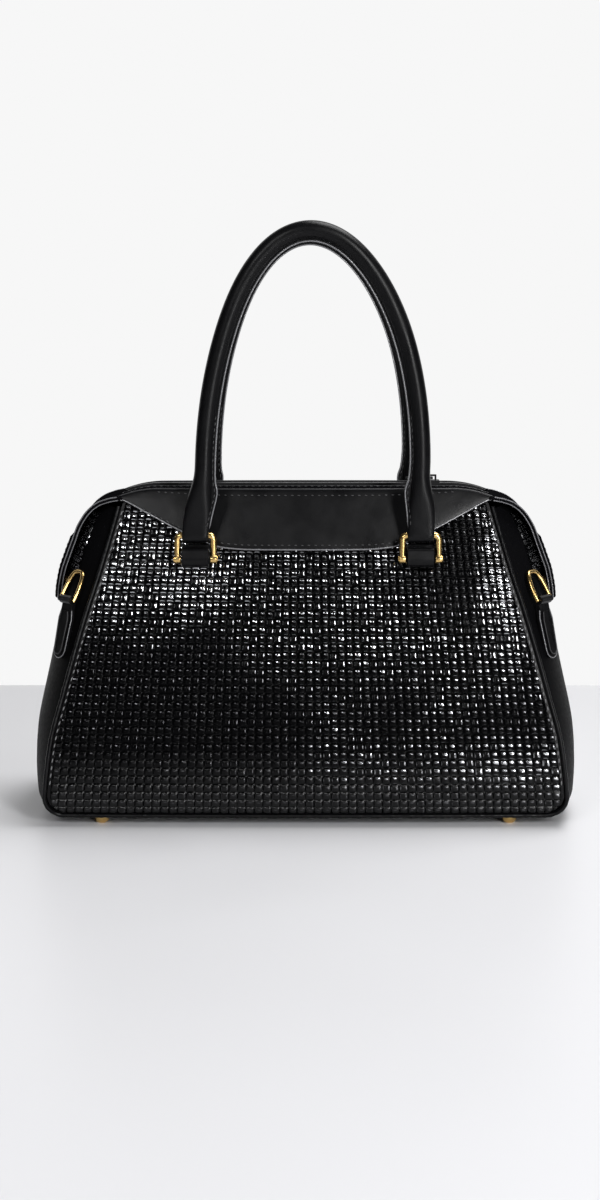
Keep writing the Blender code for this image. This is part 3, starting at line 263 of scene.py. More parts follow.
# Edge beads by radius, and stitches by pitch, length and radius
EDGE_BEAD = 0.0005
THIN_BEAD = 0.0004
PATCH_BEAD = 0.0009
SEAM_STITCH = (0.0052, 0.0032, 0.00045)
TOP_STITCH = (0.0046, 0.0019, 0.00030)
PATCH_STITCH = (0.0040, 0.0027, 0.00035)
HANDLE_STITCH = (0.0042, 0.0028, 0.00035)
STITCH_LEAN = 0.12
STITCH_LIFT = 0.0001


def curve_through(table):
    """Smooth function through (place, value) shares, for numbers and arrays."""
    places, values = (np.array(column, float) for column in zip(*table))
    steps = np.diff(values) / np.diff(places)
    slopes = [steps[0]]
    for before, after in zip(steps, steps[1:]):
        slopes.append(0 if before * after <= 0 else 2 * before * after / (before + after))
    slopes = np.array(slopes + [steps[-1]])

    def value(place):
        place = np.asarray(place, float)
        i = np.clip(np.searchsorted(places, place, side="right") - 1, 0, len(places) - 2)
        width = places[i + 1] - places[i]
        t = (place - places[i]) / width
        inside = ((2 * t**3 - 3 * t**2 + 1) * values[i]
                  + (t**3 - 2 * t**2 + t) * width * slopes[i]
                  + (3 * t**2 - 2 * t**3) * values[i + 1]
                  + (t**3 - t**2) * width * slopes[i + 1])
        below = values[0] + slopes[0] * (place - places[0])
        above = values[-1] + slopes[-1] * (place - places[-1])
        return np.where(place <= places[0], below, np.where(place >= places[-1], above, inside))

    return value


depth_share = curve_through(DEPTH_SHARES)
width_share = curve_through(WIDTH_SHARES)
bulge_share = curve_through(BULGE_SHARES)
frame_bulge_share = curve_through(FRAME_BULGE_SHARES)
yoke_share = curve_through(YOKE_SHARES)
lean_share = curve_through(LEAN_SHARES)
flap_drop = curve_through(tuple(zip(FLAP_POINTS, (row[0] for row in FLAP_LINE_SHARES))))
flap_standoff = curve_through(tuple(zip(FLAP_POINTS, (row[1] for row in FLAP_LINE_SHARES))))
flap_width = curve_through(tuple(zip(FLAP_POINTS, FLAP_WIDTH_SHARES)))
flap_droop = curve_through(tuple(zip(FLAP_POINTS, FLAP_DROOP_SHARES)))
flap_settle = curve_through(tuple(zip(FLAP_POINTS, FLAP_SETTLE_SHARES)))


def points_of(x, y, z):
    return np.stack(np.broadcast_arrays(x, y, z), axis=-1).astype(float)


def height_share(z):
    return (z - BASE_Z) / BODY_HEIGHT


def height_at(share):
    return BASE_Z + share * BODY_HEIGHT


def half_width(z, inset=0):
    """Half width of a panel's outline at a height, moved in from the seam by inset."""
    z = np.asarray(z, float)
    corner_z = BASE_Z + CORNER_RADIUS
    wall = MAX_HALF_WIDTH * width_share(np.maximum(height_share(z), WIDTH_SHARES[0][0])) - inset
    reach = (CORNER_RADIUS - inset) ** 2 - (corner_z - z) ** 2
    corner = MAX_HALF_WIDTH - CORNER_RADIUS + np.sqrt(np.maximum(reach, 0))
    return np.where(z >= corner_z, wall, corner)


def panel_depth(x, z):
    """Distance of a panel's outside from the middle plane."""
    share = np.clip(height_share(z), 0, 1)
    crown = CROWN_BOTTOM + (CROWN_TOP - CROWN_BOTTOM) * share
    crown = crown * np.minimum(np.abs(x) / half_width(z), 1) ** CROWN_POWER
    return MAX_HALF_DEPTH * depth_share(height_share(z)) - crown


def panel_normal(x, z, side):
    step = NORMAL_STEP
    dx = (panel_depth(x + step, z) - panel_depth(x - step, z)) / (2 * step)
    dz = (panel_depth(x, z + step) - panel_depth(x, z - step)) / (2 * step)
    length = np.sqrt(1 + dx**2 + dz**2)
    return points_of(-dx / length, side / length, -dz / length)


def on_panel(x, z, side, lift=0):
    """Points on a panel's outside, lifted along its normal."""
    x, z = np.broadcast_arrays(np.asarray(x, float), np.asarray(z, float))
    return points_of(x, side * panel_depth(x, z), z) + panel_normal(x, z, side) * lift


def crest(x):
    """Height of the closed top's line, which falls towards its ends."""
    past = np.maximum(np.abs(x) - CREST_FLAT, 0) / (CREST_END - CREST_FLAT)
    return CREST_HEIGHT - CREST_FALL * past**2


def along_crest(u, end):
    """Places along the crest for shares u, closer where it falls."""
    turn = 2 * u - 1
    past = np.maximum(np.abs(turn) - CREST_STATION_SHARE, 0) / (1 - CREST_STATION_SHARE)
    flat = CREST_FLAT * np.clip(turn / CREST_STATION_SHARE, -1, 1)
    return flat + np.sign(turn) * (end - CREST_FLAT) * past


def yoke_low(x):
    share = np.minimum(np.abs(x) / YOKE_END, 1)
    return YOKE_LOW + (YOKE_END_LOW - YOKE_LOW) * yoke_share(share)


def on_gusset(side, share, across, lift=0):
    """Points on a gusset; across runs from -1 at the front seam to 1 at the rear."""
    share, across = np.broadcast_arrays(np.asarray(share, float), np.asarray(across, float))
    low = WIDTH_SHARES[0][0]
    z = height_at(np.maximum(share, low))
    step = BODY_HEIGHT * low
    slope = (half_width(z + step) - half_width(z)) / step
    length = np.sqrt(1 + slope**2)
    corner = share < low
    turn = (low - np.minimum(share, low)) / (low + 1) * math.pi / 2
    inner = MAX_HALF_WIDTH - CORNER_RADIUS
    x = np.where(corner, inner + CORNER_RADIUS * np.cos(turn), half_width(z))
    nx = np.where(corner, np.cos(turn), 1 / length)
    nz = np.where(corner, -np.sin(turn), -slope / length)
    z = np.where(corner, BASE_Z + CORNER_RADIUS * (1 - np.sin(turn)), z)
    low_bulge = BULGE_SHARES[2][1] * np.cos(turn)
    bulge = GUSSET_BULGE * np.where(corner, low_bulge, bulge_share(np.maximum(share, low)))
    rise = bulge * (1 - np.abs(across) ** GUSSET_POWER) + lift
    half_depth = panel_depth(x, z) - SEAM_INSET - FIT
    return points_of(side * (x + nx * rise), across * half_depth, z + nz * rise)


# Modelling helpers

def deselect():
    if bpy.context.object and bpy.context.object.mode != 'OBJECT':
        bpy.ops.object.mode_set(mode='OBJECT')
    bpy.ops.object.select_all(action='DESELECT')


def select_only(*items):
    deselect()
    for item in items:
        item.select_set(True)
    bpy.context.view_layer.objects.active = items[0]


def edit(item, *steps):
    """Run steps on a whole mesh in edit mode."""
    select_only(item)
    bpy.ops.object.mode_set(mode='EDIT')
    bpy.ops.mesh.select_all(action='SELECT')
    for step in steps:
        step()
    bpy.ops.object.mode_set(mode='OBJECT')


def flat_grid(name, columns, rows):
    """Grid of quads, with the share from 0 to 1 of each point across and up it."""
    deselect()
    bpy.ops.mesh.primitive_grid_add(x_subdivisions=columns, y_subdivisions=rows, size=2)
    item = bpy.context.object
    item.name = item.data.name = name
    return item, (read_points(item)[:, :2] + 1) / 2


def read_points(item):
    flat = np.empty(len(item.data.vertices) * 3)
    item.data.vertices.foreach_get("co", flat)
    return flat.reshape(-1, 3)


def write_points(item, points):
    item.data.vertices.foreach_set("co", np.ascontiguousarray(points, float).ravel())
    item.data.update()


def round_edges(item, width, segments=3, angle=30):
    edge = item.modifiers.new("Edge", 'BEVEL')
    edge.width = width
    edge.segments = segments
    edge.limit_method = 'ANGLE'
    edge.angle_limit = math.radians(angle)


def apply_all(item):
    select_only(item)
    for modifier in list(item.modifiers):
        bpy.ops.object.modifier_apply(modifier=modifier.name)


def face_outward(item, outward):
    """Turn an open sheet's faces so that they look the given way on the whole."""
    facing = Vector()
    for face in item.data.polygons:
        facing += face.normal * face.area
    if facing.dot(Vector(outward)) < 0:
        edit(item, bpy.ops.mesh.flip_normals)


def leather_sheet(name, columns, rows, surface, thickness, outward, rounding=0.0003):
    """Sheet through surface(u, v), shares from 0 to 1, with its thickness behind it."""
    item, shares = flat_grid(name, columns, rows)
    write_points(item, surface(shares[:, 0], shares[:, 1]))
    face_outward(item, outward)
    wall = item.modifiers.new("Wall", 'SOLIDIFY')
    wall.thickness = thickness
    wall.offset = -1
    if rounding:
        round_edges(item, rounding, 2, 50)
    apply_all(item)
    return item


def tube(name, points, radius, closed=False, resolution=3, radii=None):
    """Round cord along a line of points."""
    curve = bpy.data.curves.new(name, 'CURVE')
    curve.dimensions = '3D'
    curve.bevel_depth = radius
    curve.bevel_resolution = resolution
    curve.use_fill_caps = True
    spline = curve.splines.new('POLY')
    spline.points.add(len(points) - 1)
    for number, (target, point) in enumerate(zip(spline.points, points)):
        target.co = (*point, 1)
        if radii is not None:
            target.radius = radii[number]
    spline.use_cyclic_u = closed
    item = bpy.data.objects.new(name, curve)
    bpy.context.scene.collection.objects.link(item)
    select_only(item)
    bpy.ops.object.convert(target='MESH')
    return bpy.context.object


def loft(name, rings):
    """Closed skin over rings of points, an array of steps, sides and coordinates."""
    steps, sides = rings.shape[:2]
    item, shares = flat_grid(name, sides, steps - 1)
    around = np.rint(shares[:, 0] * sides).astype(int) % sides
    along = np.rint(shares[:, 1] * (steps - 1)).astype(int)
    write_points(item, rings[along, around])

    def close():
        bpy.ops.mesh.remove_doubles(threshold=0.000001)
        bpy.ops.mesh.select_all(action='DESELECT')
        bpy.ops.mesh.select_non_manifold()
        bpy.ops.mesh.edge_face_add()
        bpy.ops.mesh.select_all(action='SELECT')

    edit(item, close, bpy.ops.mesh.normals_make_consistent)
    return item


def join(name, items):
    select_only(*items)
    bpy.ops.object.join()
    item = bpy.context.object
    item.name = item.data.name = name
    return item


def place(item, finish, body, *nodes, angle=38):
    """Give a finished piece its smooth shading, material and body, and hide the CAD nodes it
    stands for.

    A piece given no body is left without one.
    """
    select_only(item)
    bpy.ops.object.shade_smooth_by_angle(angle=math.radians(angle))
    item.data.materials.clear()
    item.data.materials.append(material(finish))
    if body:
        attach(item, body)
    if nodes:
        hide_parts(*nodes)
    return item


def bead(name, line, radius, finish, body, closed=False):
    """Thin round edge along a line."""
    return place(tube(name, line, radius, closed), finish, body)


def resample(points, pitch):
    """Evenly spaced points along a line, with the direction at each."""
    points = np.asarray(points, float)
    lengths = np.linalg.norm(np.diff(points, axis=0), axis=1)
    along = np.concatenate(([0], np.cumsum(lengths)))
    count = max(int(round(along[-1] / pitch)), 2)
    stations = (np.arange(count) + 0.5) / count * along[-1]

    def at(stations):
        return np.stack([np.interp(stations, along, points[:, k]) for k in range(3)], axis=1)

    run = (at(np.minimum(stations + pitch / 4, along[-1]))
           - at(np.maximum(stations - pitch / 4, 0)))
    return at(stations), run / np.linalg.norm(run, axis=1)[:, None]


def sew(name, points, size, outward, body, finish="thread"):
    """Row of slightly slanted stitches: one capsule, copied along a line."""
    pitch, length, radius = size
    deselect()
    bpy.ops.mesh.primitive_uv_sphere_add(segments=8, ring_count=6, radius=1)
    pattern = bpy.context.object
    unit = read_points(pattern)
    sides = [tuple(face.vertices) for face in pattern.data.polygons]
    bpy.data.objects.remove(pattern, do_unlink=True)
    verts = []
    faces = []
    for number, (middle, run) in enumerate(zip(*resample(points, pitch))):
        out = np.asarray(outward, float)
        out = out - run * out.dot(run)
        out = out / np.linalg.norm(out)
        across = np.cross(run, out)
        lean = run + across * STITCH_LEAN
        lean = lean / np.linalg.norm(lean)
        stretched = (unit[:, 2:3] * lean * length / 2 + unit[:, 0:1] * across * radius
                     + unit[:, 1:2] * out * radius)
        start = number * len(unit)
        verts.extend(middle + stretched)
        faces.extend(tuple(start + k for k in face) for face in sides)
    mesh = bpy.data.meshes.new(name)
    mesh.from_pydata([tuple(v) for v in verts], [], faces)
    item = bpy.data.objects.new(name, mesh)
    bpy.context.scene.collection.objects.link(item)
    edit(item, bpy.ops.mesh.normals_make_consistent)
    return place(item, finish, body)


def drop_onto(items, points, direction, lift, reach=0.05):
    """Project points onto pieces along a direction, then lift them off the surface."""
    trees = []
    for item in items:
        bm = bmesh.new()
        bm.from_mesh(item.data)
        trees.append(BVHTree.FromBMesh(bm))
        bm.free()
    way = Vector(direction).normalized()
    landed = []
    for point in points:
        start = Vector(point) - way * reach
        hits = [tree.ray_cast(start, way) for tree in trees]
        hits = [hit for hit in hits if hit[0] is not None]
        if hits:
            best = min(hits, key=lambda hit: hit[3])
            normal = best[1] if best[1].dot(way) < 0 else -best[1]
            landed.append(best[0] + normal * lift)
    return np.array([tuple(p) for p in landed])


# Materials

CELLS_PER_MAP = 64
USUAL_NOISE = (0.3, 0.7)       # where most values of a noise lie
PORES = 1500
GRAIN = (420, 4)
DASH_SOFTNESS = 0.14
DASH_LIMIT = 0.86
SHEEN_BRIGHTENING = 3          # how much more a painted sheen brightens the painted glints than widens them
BASE_COAT = 0.45               # even shine of the weave just above the base
BASE_COAT_HEIGHTS = (0.012, 0.055)

# Painted sheens and painted shade on the weave, brighter and darker places of its glints: x, z,
# half width, half height and strength
PAINTED_WEAVE_SHEENS = (
    ((-0.108, 0.175, 0.055, 0.060), 0.20), ((0.135, 0.170, 0.022, 0.090), 0.20),
    ((0.140, 0.048, 0.050, 0.022), 0.10), ((0.080, 0.120, 0.080, 0.060), 0.03),
    ((0.102, 0.180, 0.026, 0.060), -0.14), ((-0.100, 0.080, 0.110, 0.085), -0.25),
    ((0.0, 0.010, 0.400, 0.028), -0.22), ((0.010, 0.060, 0.110, 0.070), -0.14),
    ((0.130, 0.070, 0.090, 0.065), -0.15), ((-0.166, 0.185, 0.030, 0.050), 0.22),
    ((0.166, 0.185, 0.022, 0.050), 0.14))


class Value:
    """Output socket of a material's node, for maths written as Python."""

    def __init__(self, finish, socket):
        self.finish = finish
        self.socket = socket

    def maths(self, operation, *others):
        return self.finish.node('ShaderNodeMath', {"operation": operation}, [self, *others])

    def __add__(self, other):
        return self.maths('ADD', other)

    def __sub__(self, other):
        return self.maths('SUBTRACT', other)

    def __rsub__(self, other):
        return self.finish.node('ShaderNodeMath', {"operation": 'SUBTRACT'}, [other, self])

    def __mul__(self, other):
        return self.maths('MULTIPLY', other)

    def __pow__(self, other):
        return self.maths('POWER', other)

    def wave(self, turn):
        """Sine over a turn in radians, for a value that runs from 0 to 1."""
        return (self * turn).maths('SINE')


class Finish:
    """One material, with a Principled shader and helpers that add nodes to it."""

    def __init__(self, name, color, roughness, specular=0.5, metallic=0, coat_roughness=0.1):
        self.material = bpy.data.materials.new(name)
        self.material.use_nodes = True
        self.tree = self.material.node_tree
        self.shader = self.tree.nodes["Principled BSDF"]
        self.set("Base Color", (*color, 1))
        self.set("Roughness", roughness)
        self.set("Specular IOR Level", specular)
        self.set("Metallic", metallic)
        self.set("Coat Roughness", coat_roughness)

    def feed(self, socket, value):
        if isinstance(value, Value):
            self.tree.links.new(value.socket, socket)
        else:
            socket.default_value = value

    def set(self, name, value):
        self.feed(self.shader.inputs[name], value)

    def node(self, kind, settings=None, inputs=None, output=0):
        node = self.tree.nodes.new(kind)
        for key, setting in (settings or {}).items():
            setattr(node, key, setting)
        items = inputs.items() if isinstance(inputs, dict) else enumerate(inputs or [])
        for key, value in items:
            self.feed(node.inputs[key], value)
        return Value(self, node.outputs[output])

    def spot(self, stretch=(1, 1, 1)):
        """Object coordinates, stretched by a scale."""
        raw = self.node('ShaderNodeTexCoord', output="Object")
        return self.node('ShaderNodeMapping', {}, {"Vector": raw, "Scale": stretch})

    def axis(self, vector, letter):
        return self.node('ShaderNodeSeparateXYZ', {}, [vector], letter)

    def noise(self, scale, detail=2, stretch=(1, 1, 1)):
        return self.node('ShaderNodeTexNoise', {}, {"Vector": self.spot(stretch),
                                                    "Scale": scale, "Detail": detail}, "Fac")

    def leather_grain(self):
        pores = self.node('ShaderNodeTexVoronoi', {}, {"Vector": self.spot(), "Scale": PORES},
                          "Distance")
        return pores * 0.6 + self.noise(*GRAIN)

    def spread(self, value, low, high, new_low, new_high, kind='LINEAR'):
        return self.node('ShaderNodeMapRange', {"interpolation_type": kind},
                         {"Value": value, "From Min": low, "From Max": high,
                          "To Min": new_low, "To Max": new_high})

    def rough(self, noise, low, high):
        self.set("Roughness", self.spread(noise, *USUAL_NOISE, low, high))

    def mix(self, factor, first, second):
        """Mix of two colours; a Mix node's inputs of the colour kind sit at 6 and 7."""
        node = self.tree.nodes.new('ShaderNodeMix')
        node.data_type = 'RGBA'
        self.feed(node.inputs[0], factor)
        for socket, color in ((node.inputs[6], first), (node.inputs[7], second)):
            self.feed(socket, color if isinstance(color, Value) else (*color, 1))
        return Value(self, node.outputs[2])

    def bump(self, height, strength, distance, below=None):
        inputs = {"Height": height, "Strength": strength, "Distance": distance}
        if below is not None:
            inputs["Normal"] = below
        normal = self.node('ShaderNodeBump', {}, inputs)
        self.set("Normal", normal)
        return normal


MATERIALS = {}


def material(name):
    """A finish by name, made once."""
    if name not in MATERIALS:
        MATERIALS[name] = FINISHES[name](bpy.context.scene.tote_finish)
    return MATERIALS[name]


def shaded(color, shade):
    return tuple(c * shade for c in color)


def smooth_leather(settings):
    color, rough = settings.leather_color, settings.leather_roughness
    finish = Finish("smooth_leather", color, rough, specular=0.13)
    finish.rough(finish.noise(60, 3), rough - 0.06, rough + 0.07)
    finish.set("Base Color", finish.mix(finish.noise(35, 3), shaded(color, 0.75),
                                        shaded(color, 1.5)))
    fine = finish.bump(finish.leather_grain(), 0.10, 0.0004)
    finish.bump(finish.noise(45), 0.14, 0.003, fine)
    return finish.material


def side_leather(settings):
    finish = Finish("side_leather", settings.leather_color, 0.45, specular=0.014)
    finish.rough(finish.noise(*GRAIN), 0.38, 0.52)
    finish.bump(finish.leather_grain(), 0.12, 0.0004)
    return finish.material


def woven_leather(settings):
    """Black leather with painted glints, two to a cell: metallic dashes that stand in for the
    glints on its ribs and still reflect the lamps, on the map that woven_sheet lays.
    """
    finish = Finish("woven_leather", settings.weave_color, settings.weave_roughness,
                    settings.weave_gloss, coat_roughness=0.25)
    mapped = finish.node('ShaderNodeTexCoord', output="UV")
    column = finish.axis(mapped, "X") * CELLS_PER_MAP
    row = finish.axis(mapped, "Y") * CELLS_PER_MAP
    cell = finish.node('ShaderNodeCombineXYZ', {}, [column.maths('FLOOR'), row.maths('FLOOR'), 0])
    chance = finish.node('ShaderNodeTexWhiteNoise', {}, {"Vector": cell})
    other = finish.node('ShaderNodeTexWhiteNoise', {"noise_dimensions": '4D'},
                        {"Vector": cell, "W": 3.7})

    # Two ribs to a cell, lying or upright, each fading out at the cell's edges
    wander = finish.noise(160)
    across = column.maths('FRACT')
    up = row.maths('FRACT')
    along = (row + across * 0.14 + wander * 0.16).maths('FRACT')
    lying = along.wave(2 * math.pi).maths('ABSOLUTE')
    upright = (across + wander * 0.12).maths('FRACT').wave(2 * math.pi).maths('ABSOLUTE')
    turned = chance.maths('GREATER_THAN', settings.lying_share)
    dash = (lying * across.wave(math.pi) * (1 - turned)
            + upright * up.wave(math.pi) * turned)

    # Where a rib's painted glint starts, and how brightly it is painted, by chance, by patches
    # and by the painted sheens and painted shade
    blob = other.maths('GREATER_THAN', 0.93) * 0.35
    patchy = finish.spread(finish.noise(11), 0.35, 0.65, 0.15, -0.08)
    start = other * 0.30 + 0.62 + patchy - blob
    bright = finish.spread(finish.noise(17), *USUAL_NOISE, 0.20, 0.85)
    spot = finish.spot()
    x, z = finish.axis(spot, "X"), finish.axis(spot, "Z")
    # Painted sheens and painted shade: each patch widens and brightens, or narrows and dims, the
    # painted glints
    for (far, high, wide, tall), change in PAINTED_WEAVE_SHEENS:
        dx, dz = (x - far) * (1 / wide), (z - high) * (1 / tall)
        near = (1 - (dx * dx + dz * dz)).maths('MAXIMUM', 0) * change
        start = start - near
        bright = bright + near * SHEEN_BRIGHTENING
    start = start.maths('MINIMUM', DASH_LIMIT)
    bright = bright.maths('MINIMUM', 1).maths('MAXIMUM', 0)
    # Painted glints: metal dashes in a colour between the dim and the bright glint colour, dim
    # under painted shade and bright under painted sheens
    polish = finish.mix(bright, settings.shaded_glint_color, settings.glint_color)
    shine = finish.spread(dash - start, 0, DASH_SOFTNESS, 0, 1, 'SMOOTHSTEP')
    finish.set("Metallic", shine)
    finish.set("Base Color", finish.mix(shine, settings.weave_color, polish))
    finish.rough(finish.noise(90), settings.weave_roughness - 0.03,
                 settings.weave_roughness + 0.04)
    finish.set("Coat Weight", finish.spread(z, *BASE_COAT_HEIGHTS, BASE_COAT, 0))
    ribs = lying * (1 - turned) + upright * turned
    fine = finish.bump(ribs ** 0.7, 1.0, settings.rib_height)
    finish.bump(finish.noise(240), 0.25, 0.0010, fine)
    return finish.material


def brass(settings):
    color = settings.brass_color
    finish = Finish("polished_brass", color, 0.24, metallic=1)
    cloud = finish.noise(90, 3)
    finish.rough(cloud, 0.20, 0.28)
    finish.set("Base Color", finish.mix(cloud, shaded(color, 0.80), color))
    finish.bump(finish.noise(500), 0.008, 0.0003)
    return finish.material


def lining_cloth(settings):
    color = settings.lining_color
    finish = Finish("lining_cloth", color, 0.9)
    weft = finish.noise(700, 2, (1, 1, 3))
    finish.bump(weft, 0.3, 0.0004)
    finish.set("Base Color", finish.mix(weft, color, shaded(color, 1.6)))
    return finish.material


def plain(name, color, roughness, grain, bump, specular=0.5, shade=1, cloud=None, span=None,
          stretch=(1, 1, 1)):
    """Maker of a finish with one colour: a noise for its grain and one for its roughness."""
    def make(settings):
        finish = Finish(name, shaded(getattr(settings, color), shade), roughness, specular)
        finish.bump(finish.noise(*grain, stretch), *bump)
        if cloud:
            finish.rough(finish.noise(*cloud, stretch), *span)
        return finish.material

    return make


FINISHES = {
    "smooth": smooth_leather,
    "side": side_leather,
    "woven": woven_leather,
    "brass": brass,
    "lining": lining_cloth,
    "dull": plain("dull_leather", "leather_color", 0.8, (900, 3), (0.2, 0.0003), 0, 1.4),
    # The edge finish is partly edge paint and partly a painted highlight: grey so that its beads
    # show as light lines. dark_edge is the same paint darkened, without the painted highlight
    "edge": plain("painted_edge", "edge_color", 0.24, (300, 2), (0.08, 0.0006), 0.9,
                  cloud=(120, 2), span=(0.18, 0.34)),
    "dark_edge": plain("dark_edge", "edge_color", 0.3, (300, 2), (0.08, 0.0006), 0.2, 0.22),
    "thread": plain("waxed_thread", "thread_color", 0.38, (1800, 2), (0.3, 0.0002),
                    cloud=(1800, 2), span=(0.28, 0.5)),
    # Pale thread for the side seams: a painted glint on their dark stitches
    "pale_thread": plain("pale_thread", "pale_thread_color", 0.45, (1800, 2), (0.3, 0.0002)),
    "zip_metal": plain("zip_enamel", "zip_color", 0.4, (900, 2), (0.05, 0.0002), 0.08,
                       cloud=(400, 2), span=(0.32, 0.48)),
    "zip_cloth": plain("zip_tape", "zip_color", 0.85, (900, 2), (0.4, 0.0004),
                       cloud=(900, 2), span=(0.75, 0.95), stretch=(1, 4, 1)),
    "board": plain("grey_board", "board_color", 0.8, (300, 4), (0.3, 0.0005),
                   cloud=(300, 4), span=(0.7, 0.9)),
}


# Weave: a sheet of pillow-shaped cells between straight grooves

CELL_FRACTIONS = np.array((0, 0.08, 0.24, 0.5, 0.76, 0.92))
CELL_HEIGHTS = np.array((0, 0.62, 0.97, 1.0, 0.97, 0.62))
CELL_STEPS = len(CELL_FRACTIONS)
CELL_MIDDLE = 3
UPRIGHT_SHARE = 0.4
CREASE_SHARE = 0.45
CELL_HEIGHT_SPREAD = 0.10
CELL_WANDER = 0.035
GROOVE_SHARE = 0.55


def lay_map(item, columns, rows):
    """Map of a grid in cells, so that a material can follow them."""
    layer = item.data.uv_layers.active
    flat = np.empty(len(item.data.loops) * 2)
    layer.uv.foreach_get("vector", flat)
    layer.uv.foreach_set("vector", (flat.reshape(-1, 2) * [columns, rows]
                                    / CELLS_PER_MAP).ravel())


def trim(item, kept):
    """Delete the faces of a grid that have none of the kept points."""
    corners = np.empty(len(item.data.loops), int)
    item.data.loops.foreach_get("vertex_index", corners)
    corners = corners.reshape(-1, 4)
    spare = np.ones(len(kept), bool)
    spare[corners[kept[corners].any(axis=1)]] = False
    select_only(item)
    bpy.ops.object.mode_set(mode='EDIT')
    bpy.ops.mesh.select_mode(type='VERT')
    bpy.ops.mesh.select_all(action='DESELECT')
    bpy.ops.object.mode_set(mode='OBJECT')
    item.data.vertices.foreach_set("select", spare)
    bpy.ops.object.mode_set(mode='EDIT')
    bpy.ops.mesh.delete(type='VERT')
    bpy.ops.object.mode_set(mode='OBJECT')


def woven_sheet(name, columns, rows, spot, weave, seed, keep=None):
    """spot(c, r) gives points and normals for cell coordinates."""
    rng = np.random.default_rng(seed)
    item, shares = flat_grid(name, columns * CELL_STEPS, rows * CELL_STEPS)
    i = np.rint(shares[:, 0] * columns * CELL_STEPS).astype(int)
    j = np.rint(shares[:, 1] * rows * CELL_STEPS).astype(int)
    lay_map(item, columns, rows)
    ci, fi = i // CELL_STEPS, i % CELL_STEPS
    cj, fj = j // CELL_STEPS, j % CELL_STEPS
    fx = CELL_FRACTIONS[fi]
    fy = CELL_FRACTIONS[fj]
    shape = (columns + 1, rows + 1)
    lean_x = rng.normal(0, weave.tilt, shape)[ci, cj]
    lean_y = rng.normal(0, weave.tilt, shape)[ci, cj]
    tall = 1 + rng.normal(0, CELL_HEIGHT_SPREAD, shape)[ci, cj]
    crease = rng.uniform(0, CREASE_SHARE, shape)[ci, cj]
    upright = rng.random(shape)[ci, cj] < UPRIGHT_SHARE
    mask = CELL_HEIGHTS[fi] * CELL_HEIGHTS[fj]
    height = mask * (tall + lean_x * (fx - 0.5) + lean_y * (fy - 0.5))
    middle = np.where(upright, fi == CELL_MIDDLE, fj == CELL_MIDDLE)
    height = height - np.where(middle, crease * 0.5, 0) * mask
    wander_x = rng.normal(0, CELL_WANDER, shape)[ci, cj] * np.where(fi == 0, 0, 1)
    wander_y = rng.normal(0, CELL_WANDER, shape)[ci, cj] * np.where(fj == 0, 0, 1)
    points, normals = spot(ci + fx + wander_x * mask, cj + fy + wander_y * mask)
    write_points(item, points + normals * (weave.relief * (height - GROOVE_SHARE))[:, None])
    if keep is not None:
        kept, snapped = keep(read_points(item))
        write_points(item, snapped)
        trim(item, kept)
    return item


def arc_heights(low, high):
    """Heights on a panel's middle against the length of its section above the lowest one."""
    z = np.linspace(low, high, 400)
    y = panel_depth(0, z)
    length = np.concatenate(([0], np.cumsum(np.hypot(np.diff(z), np.diff(y)))))
    return length, z


def make_woven_panel(face, side, weave):
    length, heights = arc_heights(BASE_Z + SEAM_INSET, BODY_TOP + WEAVE_RISE)
    rows = int(length[-1] / weave.row_pitch)
    columns = 2 * int(MAX_HALF_WIDTH / weave.pitch_low + 1)

    def spot(c, r):
        z = np.interp(r * weave.row_pitch, length, heights)
        share = np.clip(height_share(z), 0, 1)
        pitch = weave.pitch_low + (weave.pitch_high - weave.pitch_low) * share**PITCH_POWER
        x = (c - columns / 2) * pitch
        limit = half_width(z)
        far = np.clip(x, -limit, limit)
        return on_panel(x, z, side) * [1, 0, 1] + points_of(
            0, side * panel_depth(far, z), 0), panel_normal(far, z, side)

    def keep(points):
        x, z = points[:, 0], points[:, 2]
        limit = half_width(z, SEAM_INSET) - WEAVE_MARGIN
        snapped = points.copy()
        snapped[:, 0] = np.clip(x, -limit, limit)
        return (np.abs(x) < limit) & (z < yoke_low(x) + WEAVE_UNDER_YOKE), snapped

    item = woven_sheet(face + "_woven_panel", columns, rows, spot, weave, 11 + side, keep)
    face_outward(item, (0, side, 0))
    place(item, "woven", "bag", face + "_panel", angle=60)


def make_panel_backing(face, side):
    low, high = BASE_Z + SEAM_INSET, BODY_TOP + BACKING_RISE

    def surface(u, v):
        z = low + (high - low) * v
        x = (2 * u - 1) * half_width(z, SEAM_INSET)
        return on_panel(x, np.minimum(z, crest(x) - BACKING_BELOW_CREST), side, -BACKING_DEPTH)

    place(leather_sheet(face + "_panel_backing", 40, 36, surface, BACKING_SHEET, (0, side, 0), 0),
          "smooth", "bag")


def seam_points(side):
    """Seam line of a panel, from the top of the left side round the base to the right."""
    low = WIDTH_SHARES[0][0]
    shares = np.concatenate((np.linspace(SEAM_TOP_SHARE, low, 90), np.linspace(low, -1, 16)[1:]))
    seam = on_gusset(1, shares, 1.0)
    inner = np.linspace(MAX_HALF_WIDTH - CORNER_RADIUS, 0, 20)[1:]
    x = np.concatenate((seam[:, 0], inner))
    z = np.concatenate((seam[:, 2], np.full(len(inner), BASE_Z)))
    half = points_of(x, side * panel_depth(x, z), z)
    return np.concatenate((half, half[:-1][::-1] * [-1, 1, 1]))


def make_piping(face, side):
    points, _ = resample(seam_points(side), PIPING_STEP)
    wave = np.arange(len(points))
    swell = PIPING_SWELL_SHARE
    radii = (1 - swell) + swell * np.sin(wave * 1.7) + swell * np.sin(wave * 0.63)
    item = tube(face + "_seam_piping", points, PIPING_RADIUS, radii=radii)
    place(item, "smooth", "bag", face + "_piping")


